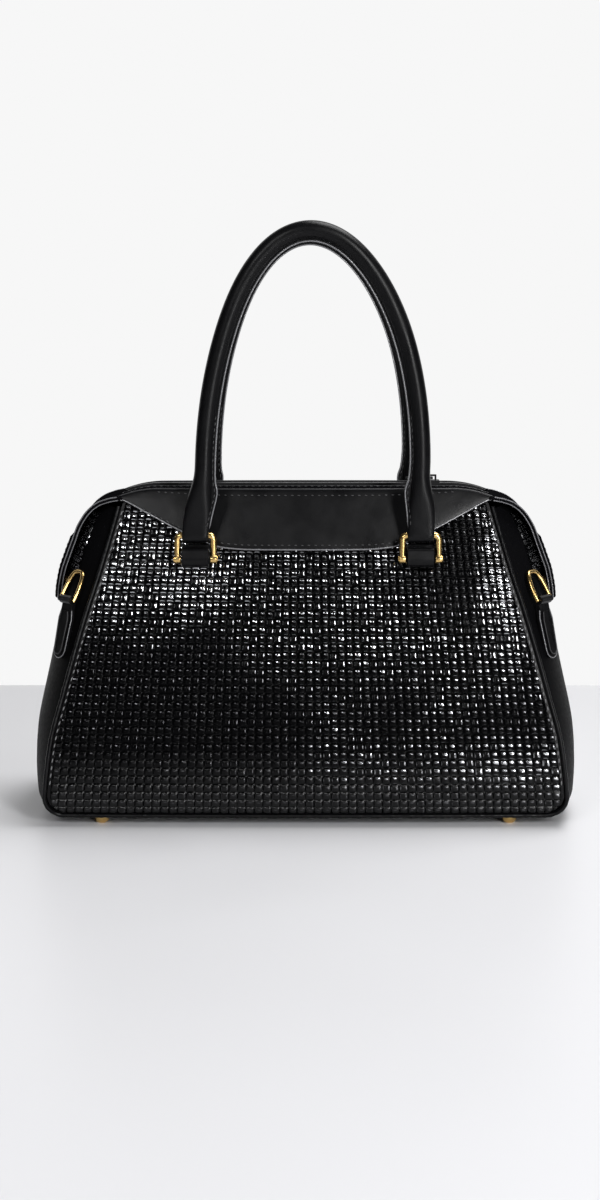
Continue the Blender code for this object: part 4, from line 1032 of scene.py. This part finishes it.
def make_seam_stitches(face, side):
    """Row of stitches down each side of a panel, just inside its piping."""
    for word, end in SIDES:
        z = np.linspace(height_at(0.975), height_at(0.10), 160)
        x = end * (half_width(z, SEAM_INSET) - SEAM_STITCH_INSET)
        # Their pale thread is a painted glint on dark stitches
        sew("%s_%s_seam_stitches" % (face, word), on_panel(x, z, side, SEAM_STITCH_LIFT),
            SEAM_STITCH, (0, side, 0), "bag", "pale_thread")


# Gussets and base

def make_gusset(word, side):
    def surface(u, v):
        low, corner = WIDTH_SHARES[0][0], GUSSET_CORNER_SHARE
        upper = low + (GUSSET_TOP_SHARE + 0.02 - low) * (v - corner) / (1 - corner)
        lower = low + (low + 1) * (v - corner) / corner
        return on_gusset(side, np.where(v > corner, upper, lower), 2 * u - 1)

    item = leather_sheet(word + "_gusset_leather", 28, 64, surface, LEATHER, (side, 0, 0))
    place(item, "side", "bag", word + "_gusset")


def make_gusset_inset(word, side, weave):
    low = height_share(BODY_TOP - INSET_LOW_DROP)
    high = height_share(BODY_TOP - INSET_HIGH_DROP)

    def spot(c, r):
        share = low + (high - low) * r / INSET_ROWS
        across = (2 * c / INSET_COLUMNS - 1) * INSET_WIDTH_SHARE
        middle = on_gusset(side, share, across, INSET_LIFT)
        above = on_gusset(side, share, across, INSET_LIFT + INSET_STEP)
        return middle, (above - middle) / INSET_STEP

    item = woven_sheet(word + "_woven_inset", INSET_COLUMNS, INSET_ROWS, spot, weave, 31 + side)
    face_outward(item, (side, 0, 0))
    place(item, "woven", "bag", word + "_gusset_inset", angle=60)


def make_base():
    def surface(u, v):
        x = (2 * u - 1) * (MAX_HALF_WIDTH - CORNER_RADIUS)
        y = (2 * v - 1) * (panel_depth(x, BASE_Z) - SEAM_INSET - FIT)
        return points_of(x, y, BASE_Z)

    place(leather_sheet("base_leather", 30, 12, surface, LEATHER, (0, 0, -1)),
          "smooth", "bag", "base_panel")


# Yokes and zip

def make_yoke(face, side):
    def surface(u, v, lift=0):
        x = (2 * u - 1) * YOKE_END
        low = yoke_low(x)
        z = low + (crest(x) - YOKE_TOP_BELOW - low) * v
        puff = YOKE_PUFF * np.sin(math.pi * np.clip(v, 0, 1)) ** 0.5
        return on_panel(x, z, side) + points_of(
            0, side * (YOKE_SHEET + YOKE_STANDOFF + puff + lift), 0)

    item = leather_sheet(face + "_yoke_leather", 96, 14, surface, YOKE_SHEET, (0, side, 0))
    place(item, "smooth", "bag", face + "_yoke")
    u = np.linspace(0, 1, 140)
    # The lower edge bead carries the edge paint's painted highlight; the top one is the darker
    # copy without it
    for word, v, sink, finish in (("", 0, 0.0001, "edge"), ("_top", 1, 0.0003, "dark_edge")):
        bead("%s_yoke%s_edge" % (face, word), surface(u, 0 * u + v) - [0, side * sink, 0],
             EDGE_BEAD, finish, "bag")
    for word, v, start, end in (("low", 0.075, 0.03, 0.97), ("top", 0.90, 0.10, 0.90)):
        u = np.linspace(start, end, 200)
        sew("%s_yoke_%s_stitches" % (face, word), surface(u, 0 * u + v, STITCH_LIFT),
            TOP_STITCH, (0, side, 0), "bag")


def make_placket(face, side):
    def surface(u, v):
        x = along_crest(u, PLACKET_END)
        outer = panel_depth(x, crest(x) - YOKE_TOP_BELOW) - FIT
        y = outer + (PLACKET_INNER - outer) * v
        drop = PLACKET_OUTER_DROP + (PLACKET_INNER_DROP - PLACKET_OUTER_DROP) * v**0.7
        return points_of(x, side * y, crest(x) - drop)

    item = leather_sheet(face + "_placket_leather", 60, 8, surface, PLACKET_SHEET, (0, 0, 1))
    place(item, "dull", "bag", face + "_placket")
    u = np.linspace(0, 1, 120)
    bead(face + "_placket_edge", surface(u, 0 * u + 1) - [0, 0, 0.0003], THIN_BEAD,
         "dark_edge", "bag")
    sew(face + "_placket_stitches", surface(u, 0 * u + 0.84) + [0, 0, STITCH_LIFT],
        TOP_STITCH, (0, 0, 1), "bag")


def make_zip_tape(face, side):
    def surface(u, v):
        x = along_crest(u, TAPE_END)
        y = TAPE_INNER + (TAPE_OUTER - TAPE_INNER) * v
        return points_of(x, side * y, crest(x) - TAPE_TOP_BELOW)

    place(leather_sheet(face + "_zip_cloth", 60, 4, surface, TAPE_SHEET, (0, 0, 1), 0),
          "zip_cloth", "bag", face + "_zip_tape")


# Shoulders, flaps and patches

def flap_middle(place_share, side):
    z = CREST_HEIGHT - FLAP_DROP * flap_drop(place_share)
    gusset = half_width(z) + GUSSET_BULGE * frame_bulge_share(height_share(z))
    return points_of(side * (gusset + FLAP_STANDOFF * flap_standoff(place_share)), 0, z)


def on_flap(side, place_share, across, lift=0, tip=0, margin=0):
    """Points of the strip; tip runs from 0 to 1 over its rounded end."""
    step = 0.05
    ahead = np.minimum(place_share + step, LAST_POINT)
    run = flap_middle(ahead, side) - flap_middle(ahead - 2 * step, side)
    run = run / np.linalg.norm(run, axis=-1)[..., None]
    normal = points_of(-side * run[..., 2], 0, side * run[..., 0])
    width = FLAP_HALF_WIDTH * flap_width(place_share) - margin
    droop = FLAP_HALF_WIDTH * flap_droop(place_share) * across**2
    droop = droop + FLAP_SETTLE * np.clip(flap_settle(place_share), 0, 1)
    middle = flap_middle(place_share, side)
    reach = middle[..., 2] - (CREST_HEIGHT - FLAP_TIP_DROP) - margin
    over = reach * np.sqrt(np.maximum(1 - across**2, 0)) * tip
    return (middle + normal * (lift - droop)[..., None] + run * over[..., None]
            + points_of(0, across * width, 0))


def flap_sheet(name, side, first, thickness, lift, margin=0, size=(22, 70), rows_share=0.82):
    def surface(u, v):
        place_share = first + (LAST_POINT - first) * np.minimum(v / rows_share, 1)
        tip = np.maximum(v - rows_share, 0) / (1 - rows_share)
        return on_flap(side, place_share, 2 * u - 1, lift, tip, margin)

    return leather_sheet(name, *size, surface, thickness, (side, 0, 0.3))


def flap_edge(side, first, lift, margin=0):
    """Edge line of the strip: down its front, round the tip and up its rear."""
    down = np.linspace(first, LAST_POINT, 90)
    front = on_flap(side, down, -1, lift, 0, margin)
    turn = np.linspace(-1, 1, 33)[1:-1]
    tip = on_flap(side, LAST_POINT, np.sin(turn * math.pi / 2), lift, 1, margin)
    rear = on_flap(side, down[::-1], 1, lift, 0, margin)
    return np.concatenate((front, tip, rear))


def make_flap(word, side):
    body = word + "_flap"
    ends = [tuple(flap_middle(np.array(at), side)) for at in (BLEND_START, BLEND_END)]
    leather = flap_sheet(body + "_leather", side, FLAP_START, LEATHER, 0)
    lining = flap_sheet(body + "_lining", side, FLAP_START, FLAP_LINING,
                        -LEATHER - FLAP_LINING / 8, FLAP_LINING)
    blended = [place(leather, "dull", None, word + "_shoulder", body),
               place(lining, "dull", None)]
    # Edge beads of the flap, in edge paint with a painted highlight
    for layer, lift in FLAP_EDGE_LIFTS:
        blended.append(bead("%s_%s_edge" % (body, layer), flap_edge(side, 0, lift), THIN_BEAD,
                            "edge", None))
    for item in blended:
        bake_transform(item)
    first = float(np.interp(PATCH_TOP_DROP / FLAP_DROP, [row[0] for row in FLAP_LINE_SHARES],
                            FLAP_POINTS))
    patch = flap_sheet(body + "_second_layer", side, first, PATCH_SHEET, FIT + PATCH_SHEET,
                       PATCH_MARGIN, (18, 40), 0.7)
    place(patch, "dull", body, body + "_patch")
    bead(word + "_second_layer_edge", flap_edge(side, first, FIT + PATCH_SHEET / 2, PATCH_MARGIN),
         PATCH_BEAD, "dull", body, closed=True)
    sew(word + "_second_layer_stitches",
        flap_edge(side, first + 0.4, FIT + PATCH_SHEET + STITCH_LIFT,
                  PATCH_MARGIN + PATCH_STITCH_INSET), PATCH_STITCH, (side, 0, 0), body)


# Handles

def handle_middle(z):
    rise = (z - BAR_HEIGHT) / (HANDLE_APEX - BAR_HEIGHT)
    return SHACKLE_SHIFT + HANDLE_LEAN * lean_share(np.clip(rise, 0, 1))


def handle_half_span(z):
    foot = np.clip((HANDLE_SPRING - z) / (HANDLE_SPRING - BAR_HEIGHT), 0, 1)
    return HANDLE_HALF_SPAN + HANDLE_STEP_IN * (3 - 2 * foot) * foot**2


class HandlePath:
    """Middle line of a handle from its left bar to its right bar, with its section."""

    def __init__(self, leg_steps=34, arch_steps=120):
        nose = np.linspace(NOSE_TURN, 0, NOSE_STEPS)
        nose_thick = LOOP_THICK * np.cos(nose)
        leg_z = np.linspace(BAR_HEIGHT, HANDLE_SPRING, leg_steps)[1:-1]
        turn = np.linspace(math.pi, 0, arch_steps)
        arch_z = HANDLE_SPRING + (HANDLE_APEX - HANDLE_SPRING) * np.sin(turn)
        arch_x = handle_middle(arch_z) + HANDLE_HALF_SPAN * np.cos(turn)
        foot_z = np.concatenate((BAR_HEIGHT - LOOP_THICK * np.sin(nose), leg_z))
        left_x = handle_middle(foot_z) - handle_half_span(foot_z)
        right_x = handle_middle(foot_z) + handle_half_span(foot_z)
        self.x = np.concatenate((left_x, arch_x, right_x[::-1]))
        self.z = np.concatenate((foot_z, arch_z, foot_z[::-1]))
        self.height = self.z - BAR_HEIGHT
        clamped = np.clip(self.height, 0, LEG_RISES[-1])
        self.outer = np.interp(clamped, LEG_RISES, LEG_OUTER)
        self.inner = np.interp(clamped, LEG_RISES, LEG_INNER)
        self.thick = np.interp(clamped, LEG_RISES, LEG_THICK)
        self.square = np.interp(clamped, LEG_RISES, LEG_SQUARE_SHARES)
        self.thick[:NOSE_STEPS] = nose_thick
        self.thick[-NOSE_STEPS:] = nose_thick[::-1]
        self.flange = np.interp(self.height, FLANGE_RISES, FLANGE_REACH)
        run_x = np.gradient(self.x)
        run_z = np.gradient(self.z)
        run_x[:NOSE_STEPS], run_z[:NOSE_STEPS] = 0, 1
        run_x[-NOSE_STEPS:], run_z[-NOSE_STEPS:] = 0, -1
        length = np.hypot(run_x, run_z)
        self.out_x = -run_z / length
        self.out_z = run_x / length

    def inside(self, side, reach, depth, part=slice(None)):
        """Line at a distance inwards from the middle line and a depth from its plane."""
        return points_of(self.x[part] - self.out_x[part] * reach, side * HANDLE_PLANE + depth,
                         self.z[part] - self.out_z[part] * reach)


def make_handle(face, side):
    body = face + "_handle"
    path = HandlePath()
    angles = np.linspace(0, 2 * math.pi, 36, endpoint=False)
    cosine = np.cos(angles)[None, :]
    sine = np.sin(angles)[None, :]
    power = 2 / (2 + 3 * path.square[:, None])
    wide = np.where(cosine > 0, path.outer[:, None], path.inner[:, None])
    reach = wide * np.sign(cosine) * np.abs(cosine) ** power
    depth = path.thick[:, None] * np.sign(sine) * np.abs(sine) ** power
    rings = points_of(path.x[:, None] + path.out_x[:, None] * reach, side * HANDLE_PLANE + depth,
                      path.z[:, None] + path.out_z[:, None] * reach)
    rolled = place(loft(body + "_roll", rings), "smooth", body, body, angle=60)
    chosen = path.height > FLANGE_LOW
    section = [path.inside(side, path.flange * share, FLANGE_HALF * deep)
               for share, deep in FLANGE_SECTION_SHARES]
    flange = loft(body + "_flange", np.stack(section, axis=1)[chosen])
    place(flange, "smooth", body, angle=50)
    # Edge beads of the flange, in edge paint with a painted highlight
    for layer, deep in FLANGE_EDGE_DEPTHS:
        bead("%s_%s_edge" % (body, layer), path.inside(side, path.flange, deep)[chosen],
             EDGE_BEAD, "edge", body)
    half = len(path.x) // 2
    for word, legs in (("left", slice(0, half)), ("right", slice(half, None))):
        height = path.height[legs]
        span = (height > FLANGE_STITCH_LOW) & (height < FLANGE_STITCH_HIGH)
        reach = path.flange[legs] - FLANGE_STITCH_INSET
        for near, way in (("near", -1), ("far", 1)):
            line = path.inside(side, reach, way * FLANGE_STITCH_FAR, legs)[span]
            landed = drop_onto([rolled, flange], line, (0, -way, 0), STITCH_LIFT)
            sew("%s_%s_stitches_%s" % (body, word, near), landed, HANDLE_STITCH, (0, way, 0),
                body)


# Shackles, pins and chapes

def arc_points(centre, radius, start, end, steps):
    angles = np.radians(np.linspace(start, end, steps + 1))
    return np.stack((centre[0] + radius * np.cos(angles), centre[1] + radius * np.sin(angles)), 1)


def stud(x, y, z, size):
    """Round stud along X with rounded edges."""
    radius, depth, edge, sides = size
    deselect()
    bpy.ops.mesh.primitive_cylinder_add(vertices=sides, radius=radius, depth=depth,
                                        location=(x, y, z), rotation=(0, math.pi / 2, 0))
    item = bpy.context.object
    bpy.ops.object.transform_apply(location=True, rotation=True, scale=True)
    round_edges(item, edge)
    apply_all(item)
    return item


def make_shackle(face, word, x, side):
    name, body, y = "%s_%s" % (face, word), face + "_shackles", side * HANDLE_PLANE
    r, w = SHACKLE_BEND, SHACKLE_HALF_WIDTH
    outline = np.concatenate(([(w, PIN_HEIGHT)],
                              arc_points((w - r, BAR_HEIGHT - r), r, 0, 90, 8),
                              arc_points((r - w, BAR_HEIGHT - r), r, 90, 180, 8),
                              [(-w, PIN_HEIGHT)]))
    bar = tube("bar", points_of(x + outline[:, 0], y, outline[:, 1]), SHACKLE_WIRE, resolution=5)
    knuckles = [stud(x + end * w, y, PIN_HEIGHT, KNUCKLE) for end in (-1, 1)]
    place(join(name + "_brass_shackle", [bar, *knuckles]), "brass", body, name + "_shackle")
    heads = [stud(x + end * (w + PIN_HEAD_OUT), y, PIN_HEIGHT, PIN_HEAD) for end in (-1, 1)]
    place(join(name + "_screw_pin", heads), "brass", body, name + "_shackle_pin")


def make_chape(face, word, x, side):
    """Leather loop round a pin, its tails running back to the panel."""
    roll = arc_points((HANDLE_PLANE, PIN_HEIGHT), CHAPE_RADIUS, -CHAPE_ARC, 18, 14)
    crown = arc_points((HANDLE_PLANE + CHAPE_CROWN_OUT, PIN_HEIGHT + CHAPE_RISE), CHAPE_CROWN,
                       10, 84, 8)
    low = PIN_HEIGHT - CHAPE_TAIL_HALF
    high = PIN_HEIGHT + CHAPE_RISE + CHAPE_CROWN + CHAPE_TAIL_RISE
    back = panel_depth(x, PIN_HEIGHT) - CHAPE_SINK
    outline = np.concatenate(([(back, low)], roll, crown, [(back, high)]))
    away = outline - np.array((HANDLE_PLANE, PIN_HEIGHT + CHAPE_RISE / 2))
    rings = []
    for width, pull in ((-CHAPE_HALF_WIDTH, CHAPE_ROUNDING), (-CHAPE_FLAT_HALF, 0),
                        (CHAPE_FLAT_HALF, 0), (CHAPE_HALF_WIDTH, CHAPE_ROUNDING)):
        shrunk = outline - away * (pull / np.linalg.norm(away, axis=1))[:, None]
        rings.append(points_of(x + width, side * shrunk[:, 0], shrunk[:, 1]))
    name = "%s_%s_chape" % (face, word)
    place(loft(name + "_leather", np.stack(rings)), "smooth", "bag", name)


# Rings

def ring_hinge(word):
    """Place of a D-ring's hinge and the unit vector along its bar."""
    joint = HINGES[word + "_d_ring_hinge"]
    axis = np.array(joint["axis"], float)
    return np.array(joint["pos_m"], float), axis / np.linalg.norm(axis)


def make_ring(word, side):
    origin, bar = ring_hinge(word)
    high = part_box(word + "_d_ring")[1]
    turn = np.linspace(0, math.pi, 41)
    cosine = np.cos(turn)
    x = RING_HALF_WIDTH * np.sign(cosine) * np.abs(cosine) ** RING_WIDTH_POWER
    z = RING_RISE * np.sin(turn) ** RING_RISE_POWER
    lean = math.acos((high.z - RING_TOP_BELOW - origin[2]) / RING_LEAN_REACH)
    flat = np.array((-side * abs(bar[1]), abs(bar[0]), 0))
    up = math.sin(lean) * flat + math.cos(lean) * np.array((0, 0, 1))
    line = origin + x[:, None] * bar + z[:, None] * up
    item = tube(word + "_brass_ring", line, RING_WIRE, closed=True, resolution=5)
    place(item, "brass", word + "_d_ring", word + "_d_ring")


def make_tongue_edges(word, side):
    """Edge lines round the leather tongue of a D-ring, light with a painted highlight, and darker
    round its raised middle.
    """
    origin, bar = ring_hinge(word)
    tongue = frame["nodes"][word + "_d_ring_chape"]
    largest = max(tongue.data.polygons, key=lambda face: face.area)
    out = np.array(tongue.matrix_world.to_3x3() @ largest.normal)
    out = out * np.sign(out[0] * side)
    up = np.cross(bar, out)
    up = up * np.sign(up[2])
    depth = min(np.dot(np.array(tongue.matrix_world @ point.co) - origin, out)
                for point in tongue.data.vertices)
    for layer, finish, shrink, lift in (
            ("outer", "edge", 0, TONGUE_SHEET - TONGUE_EDGE_SINK),
            ("middle", "dark_edge", TONGUE_PAD_INSET, TONGUE_SHEET + TONGUE_PAD)):
        neck = (TONGUE_NECK - shrink, -TONGUE_NECK_DROP - shrink / 2)
        wide = (TONGUE_HALF_WIDTH - shrink, -TONGUE_WIDE_DROP - shrink / 2)
        tip = arc_points((0, TONGUE_TIP), TONGUE_TIP_RADIUS - shrink, 180, 360, 18)
        outline = np.concatenate(([(-neck[0], neck[1]), (-wide[0], wide[1])], tip, [wide, neck]))
        line = (origin + outline[:, :1] * bar + outline[:, 1:] * up + out * (depth + lift))
        bead("%s_tongue_%s_edge" % (word, layer), line, THIN_BEAD, finish, "bag")


# Stage

TABLE_NEAR = -1.9
TABLE_WIDE = 3.2
TABLE_THICK = 0.04
WALL_SIZE = (6, 1, 4)
WALL_MIDDLE = 0.8
LAMP_TARGET = (0, 0, 0.13)
SENSOR = 36
# Name, distance, azimuth, height, width, depth, share of the power, and whether it lights the
# weave alone: those are narrow lamps, seen as glints in its glossy cells
LAMPS = (("lamp_upper_left", 1.50, -14, 0.88, 0.22, 0.26, 0.30, True),
         ("lamp_upper_right", 1.50, 17, 0.90, 0.12, 0.40, 0.25, True),
         ("lamp_lower_right", 0.90, 15, 0.07, 0.12, 0.08, 0.06, True),
         ("lamp_middle", 1.50, 5, 0.42, 0.30, 0.16, 0.10, True),
         ("lamp_right", 2.45, 24, 0.80, 0.35, 1.50, 5.2, False),
         ("lamp_left", 2.25, -22, 1.35, 0.45, 0.45, 1.4, False))
TOP_LAMP = ("lamp_top", (0.45, 0.15, 1.55), 1.00, 0.80, 2.4)


def make_table(settings):
    deselect()
    bpy.ops.mesh.primitive_cube_add(size=1)
    table = bpy.context.object
    table.name = "table_top"
    near, far = TABLE_NEAR, settings.table_back
    write_points(table, read_points(table) * [TABLE_WIDE, far - near, TABLE_THICK]
                 + [0, (near + far) / 2, -TABLE_THICK / 2])
    finish = Finish("table_finish", settings.table_color, 0.4, specular=0.35)
    finish.rough(finish.noise(3), 0.36, 0.44)
    table.data.materials.append(finish.material)


def make_wall(settings):
    """Wall that lights the bag as paint does, but looks evenly bright to the camera."""
    deselect()
    bpy.ops.mesh.primitive_plane_add(size=1)
    wall = bpy.context.object
    wall.name = "back_wall"
    write_points(wall, read_points(wall)[:, [0, 2, 1]] * WALL_SIZE
                 + [0, settings.wall_back, WALL_MIDDLE])
    paint = Finish("wall_paint", settings.wall_color, 0.9)
    seen, mirrored, passed = (paint.node('ShaderNodeLightPath', output="Is %s Ray" % kind)
                              for kind in ("Camera", "Glossy", "Transmission"))
    glow = paint.node('ShaderNodeEmission', {}, {"Color": (*settings.wall_color, 1),
                                                "Strength": settings.wall_glow})
    either = seen.maths('MAXIMUM', mirrored).maths('MAXIMUM', passed)
    shader = Value(paint, paint.shader.outputs[0])
    blend = paint.node('ShaderNodeMixShader', {}, [either, shader, glow])
    paint.feed(paint.tree.nodes["Material Output"].inputs["Surface"], blend)
    wall.data.materials.append(paint.material)


def softbox(name, centre, width, height, power):
    light = bpy.data.lights.new(name, 'AREA')
    light.shape = 'RECTANGLE'
    light.size = width
    light.size_y = height
    light.energy = power
    item = bpy.data.objects.new(name, light)
    bpy.context.scene.collection.objects.link(item)
    item.location = centre
    way = Vector(LAMP_TARGET) - Vector(centre)
    item.rotation_euler = way.to_track_quat('-Z', 'Y').to_euler()
    return item


def make_lights(settings):
    weave_only = bpy.data.collections.new("weave")
    for item in bpy.context.scene.objects:
        if item.type == 'MESH' and "woven" in item.name:
            weave_only.objects.link(item)
    for name, distance, azimuth, height, width, tall, share, glint in LAMPS:
        turn = math.radians(azimuth)
        centre = (distance * math.sin(turn), -distance * math.cos(turn), height)
        lamp = softbox(name, centre, width, tall, settings.light * share)
        if glint:
            lamp.light_linking.receiver_collection = weave_only
            lamp.visible_diffuse = False
    name, centre, width, tall, share = TOP_LAMP
    softbox(name, centre, width, tall, settings.light * share)
    world = bpy.data.worlds.new("studio")
    world.use_nodes = True
    background = world.node_tree.nodes["Background"]
    background.inputs["Color"].default_value = (1, 1, 1, 1)
    background.inputs["Strength"].default_value = settings.world
    bpy.context.scene.world = world


def make_camera(settings):
    data = bpy.data.cameras.new("camera")
    data.lens = settings.lens
    data.sensor_width = SENSOR
    item = bpy.data.objects.new("camera", data)
    item.location = settings.eye
    item.rotation_euler = (math.radians(90) - settings.pitch, 0, 0)
    bpy.context.scene.collection.objects.link(item)
    bpy.context.scene.camera = item
    bpy.context.scene.view_settings.view_transform = 'Standard'


# Settings

def color(name, value, description):
    return bpy.props.FloatVectorProperty(name=name, subtype='COLOR', default=value,
                                         description=description)


def number(name, value, description, **others):
    return bpy.props.FloatProperty(name=name, default=value, description=description, **others)


def length(name, value, description):
    return number(name, value, description, unit='LENGTH')


class ToteWeave(bpy.types.PropertyGroup):
    pitch_low: length("Pitch at the base", 0.0059, "Width of a woven cell at the base")
    pitch_high: length("Pitch at the top", 0.0050, "Width of a woven cell at the top")
    row_pitch: length("Row pitch", 0.0057, "Height of a woven cell")
    relief: length("Relief", 0.0011, "Depth of the grooves between cells")
    tilt: number("Tilt", 0.3, "How unevenly the cells lie, as a share of relief", min=0)


class ToteFinish(bpy.types.PropertyGroup):
    leather_color: color("Smooth leather", (0.0028, 0.0028, 0.0032),
                         "Colour of the smooth leather")
    leather_roughness: number("Leather roughness", 0.32, "How matt the smooth leather is")
    weave_color: color("Woven leather", (0.0010, 0.0010, 0.0012), "Colour of the woven leather")
    weave_roughness: number("Weave roughness", 0.13, "How matt the woven leather is")
    weave_gloss: number("Weave gloss", 0.04, "Reflection level of the woven leather")
    lying_share: number("Lying ribs", 0.72, "Share of the cells whose ribs lie flat",
                        min=0, max=1)
    rib_height: length("Ribs", 0.00025, "Height of the ribs of a woven cell")
    # Painted glints of the weave: colours of its metallic dashes, dim under painted shade and
    # bright under painted sheens
    shaded_glint_color: color("Dim dashes", (0.030, 0.030, 0.032),
                          "Colour of the dashes where the weave is dim")
    glint_color: color("Polished dashes", (0.43, 0.435, 0.45),
                      "Colour of the weave's polished dashes")
    # Grey edge paint: partly the edges' paint, partly a painted highlight that makes the edge
    # beads show as light lines
    edge_color: color("Edge paint", (0.13, 0.13, 0.138), "Colour of the painted edges")
    thread_color: color("Thread", (0.030, 0.030, 0.032), "Colour of the stitches")
    # Pale seam thread: a painted glint on the seams' dark stitches
    pale_thread_color: color("Seam thread", (0.16, 0.16, 0.165), "Colour of the seams' stitches")
    brass_color: color("Brass", (0.72, 0.49, 0.19), "Colour of the hardware")
    zip_color: color("Zip", (0.015, 0.015, 0.016), "Colour of the zip")
    lining_color: color("Lining", (0.035, 0.033, 0.035), "Colour of the lining")
    board_color: color("Board", (0.09, 0.085, 0.08), "Colour of the base board")


class ToteStage(bpy.types.PropertyGroup):
    table_color: color("Table", (0.72, 0.72, 0.74), "Colour of the table")
    wall_color: color("Wall", (0.93, 0.93, 0.93), "Colour of the wall")
    wall_glow: number("Wall brightness", 1.0, "How bright the wall looks to the camera")
    table_back: length("Table's back edge", 0.45, "Distance of the table's back edge")
    wall_back: length("Wall", 1.8, "Distance of the wall behind the bag")
    light: number("Light", 10, "Power of the lamps")
    world: number("World", 0.03, "Strength of the light from all round")
    lens: number("Lens", 62.7, "Focal length")
    pitch: number("Pitch", math.radians(8.4), "How far the camera looks down", subtype='ANGLE')
    eye: bpy.props.FloatVectorProperty(name="Eye", default=(-0.0039, -1.475, 0.365),
                                       subtype='TRANSLATION', description="Camera's place")


# Operators

class StageOperator(bpy.types.Operator):
    """Table, wall, lamps and camera"""
    bl_idname = "tote.stage"
    bl_label = "Stage"

    def execute(self, context):
        for make in (make_camera, make_table, make_wall, make_lights):
            make(context.scene.tote_stage)
        return {'FINISHED'}


class PanelOperator(bpy.types.Operator):
    """Woven panels with their backing, piping and stitches"""
    bl_idname = "tote.panels"
    bl_label = "Woven panels"

    def execute(self, context):
        for face, side in FACES:
            make_woven_panel(face, side, context.scene.tote_weave)
            make_panel_backing(face, side)
            make_piping(face, side)
            make_seam_stitches(face, side)
        return {'FINISHED'}


class GussetOperator(bpy.types.Operator):
    """Gussets with their woven insets, and the base"""
    bl_idname = "tote.gussets"
    bl_label = "Gussets and base"

    def execute(self, context):
        for word, side in SIDES:
            make_gusset(word, side)
            make_gusset_inset(word, side, context.scene.tote_weave)
        make_base()
        return {'FINISHED'}


class TopOperator(bpy.types.Operator):
    """Yokes, plackets and zip tapes"""
    bl_idname = "tote.top"
    bl_label = "Yokes and zip"

    def execute(self, context):
        for face, side in FACES:
            for make in (make_yoke, make_placket, make_zip_tape):
                make(face, side)
        return {'FINISHED'}


class FlapOperator(bpy.types.Operator):
    """Side flaps with their second layers"""
    bl_idname = "tote.flaps"
    bl_label = "Side flaps"

    def execute(self, context):
        for word, side in SIDES:
            make_flap(word, side)
        return {'FINISHED'}


class HandleOperator(bpy.types.Operator):
    """Rolled handles with their stitched flanges"""
    bl_idname = "tote.handles"
    bl_label = "Handles"

    def execute(self, context):
        for face, side in FACES:
            make_handle(face, side)
        return {'FINISHED'}


class HardwareOperator(bpy.types.Operator):
    """Shackles, pins, chapes, D-rings and the edges of their tongues"""
    bl_idname = "tote.hardware"
    bl_label = "Hardware"

    def execute(self, context):
        for face, side in FACES:
            for word, end in SIDES:
                x = SHACKLE_SHIFT + end * SHACKLE_SPAN / 2
                make_shackle(face, word, x, side)
                make_chape(face, word, x, side)
        for word, side in SIDES:
            make_ring(word, side)
            make_tongue_edges(word, side)
        return {'FINISHED'}


NODE_FINISHES = {
    "foot": "brass", "snap_socket": "brass", "snap_stud": "brass", "zip_teeth": "zip_metal",
    "zip_slider": "zip_metal", "zip_pull": "zip_metal", "lining": "lining",
    "base_board": "board", "d_ring_chape": "smooth",
}


class FinishOperator(bpy.types.Operator):
    """Materials of the pieces that the frame already holds"""
    bl_idname = "tote.finishes"
    bl_label = "Finishes"

    def execute(self, context):
        for name, node in frame["nodes"].items():
            for ending, finish in NODE_FINISHES.items():
                if name.endswith(ending):
                    node.data.materials.clear()
                    node.data.materials.append(material(finish))
        return {'FINISHED'}


class TotePanel(bpy.types.Panel):
    """Buttons for each group of pieces"""
    bl_idname = "VIEW3D_PT_tote"
    bl_label = "Tote bag"
    bl_space_type = 'VIEW_3D'
    bl_region_type = 'UI'
    bl_category = "Tote"

    def draw(self, context):
        for operator in OPERATORS:
            self.layout.operator(operator.bl_idname)


OPERATORS = (StageOperator, PanelOperator, GussetOperator, TopOperator, FlapOperator,
             HandleOperator, HardwareOperator, FinishOperator)
CLASSES = (ToteWeave, ToteFinish, ToteStage, *OPERATORS, TotePanel)


def register():
    for item in CLASSES:
        bpy.utils.register_class(item)
    bpy.types.Scene.tote_weave = bpy.props.PointerProperty(type=ToteWeave)
    bpy.types.Scene.tote_finish = bpy.props.PointerProperty(type=ToteFinish)
    bpy.types.Scene.tote_stage = bpy.props.PointerProperty(type=ToteStage)


def unregister():
    del bpy.types.Scene.tote_weave
    del bpy.types.Scene.tote_finish
    del bpy.types.Scene.tote_stage
    for item in reversed(CLASSES):
        bpy.utils.unregister_class(item)


def main():
    register()
    bpy.ops.tote.panels()
    bpy.ops.tote.gussets()
    bpy.ops.tote.top()
    bpy.ops.tote.flaps()
    bpy.ops.tote.handles()
    bpy.ops.tote.hardware()
    bpy.ops.tote.finishes()
    bpy.ops.tote.stage()


if __name__ == "__main__":
    main()
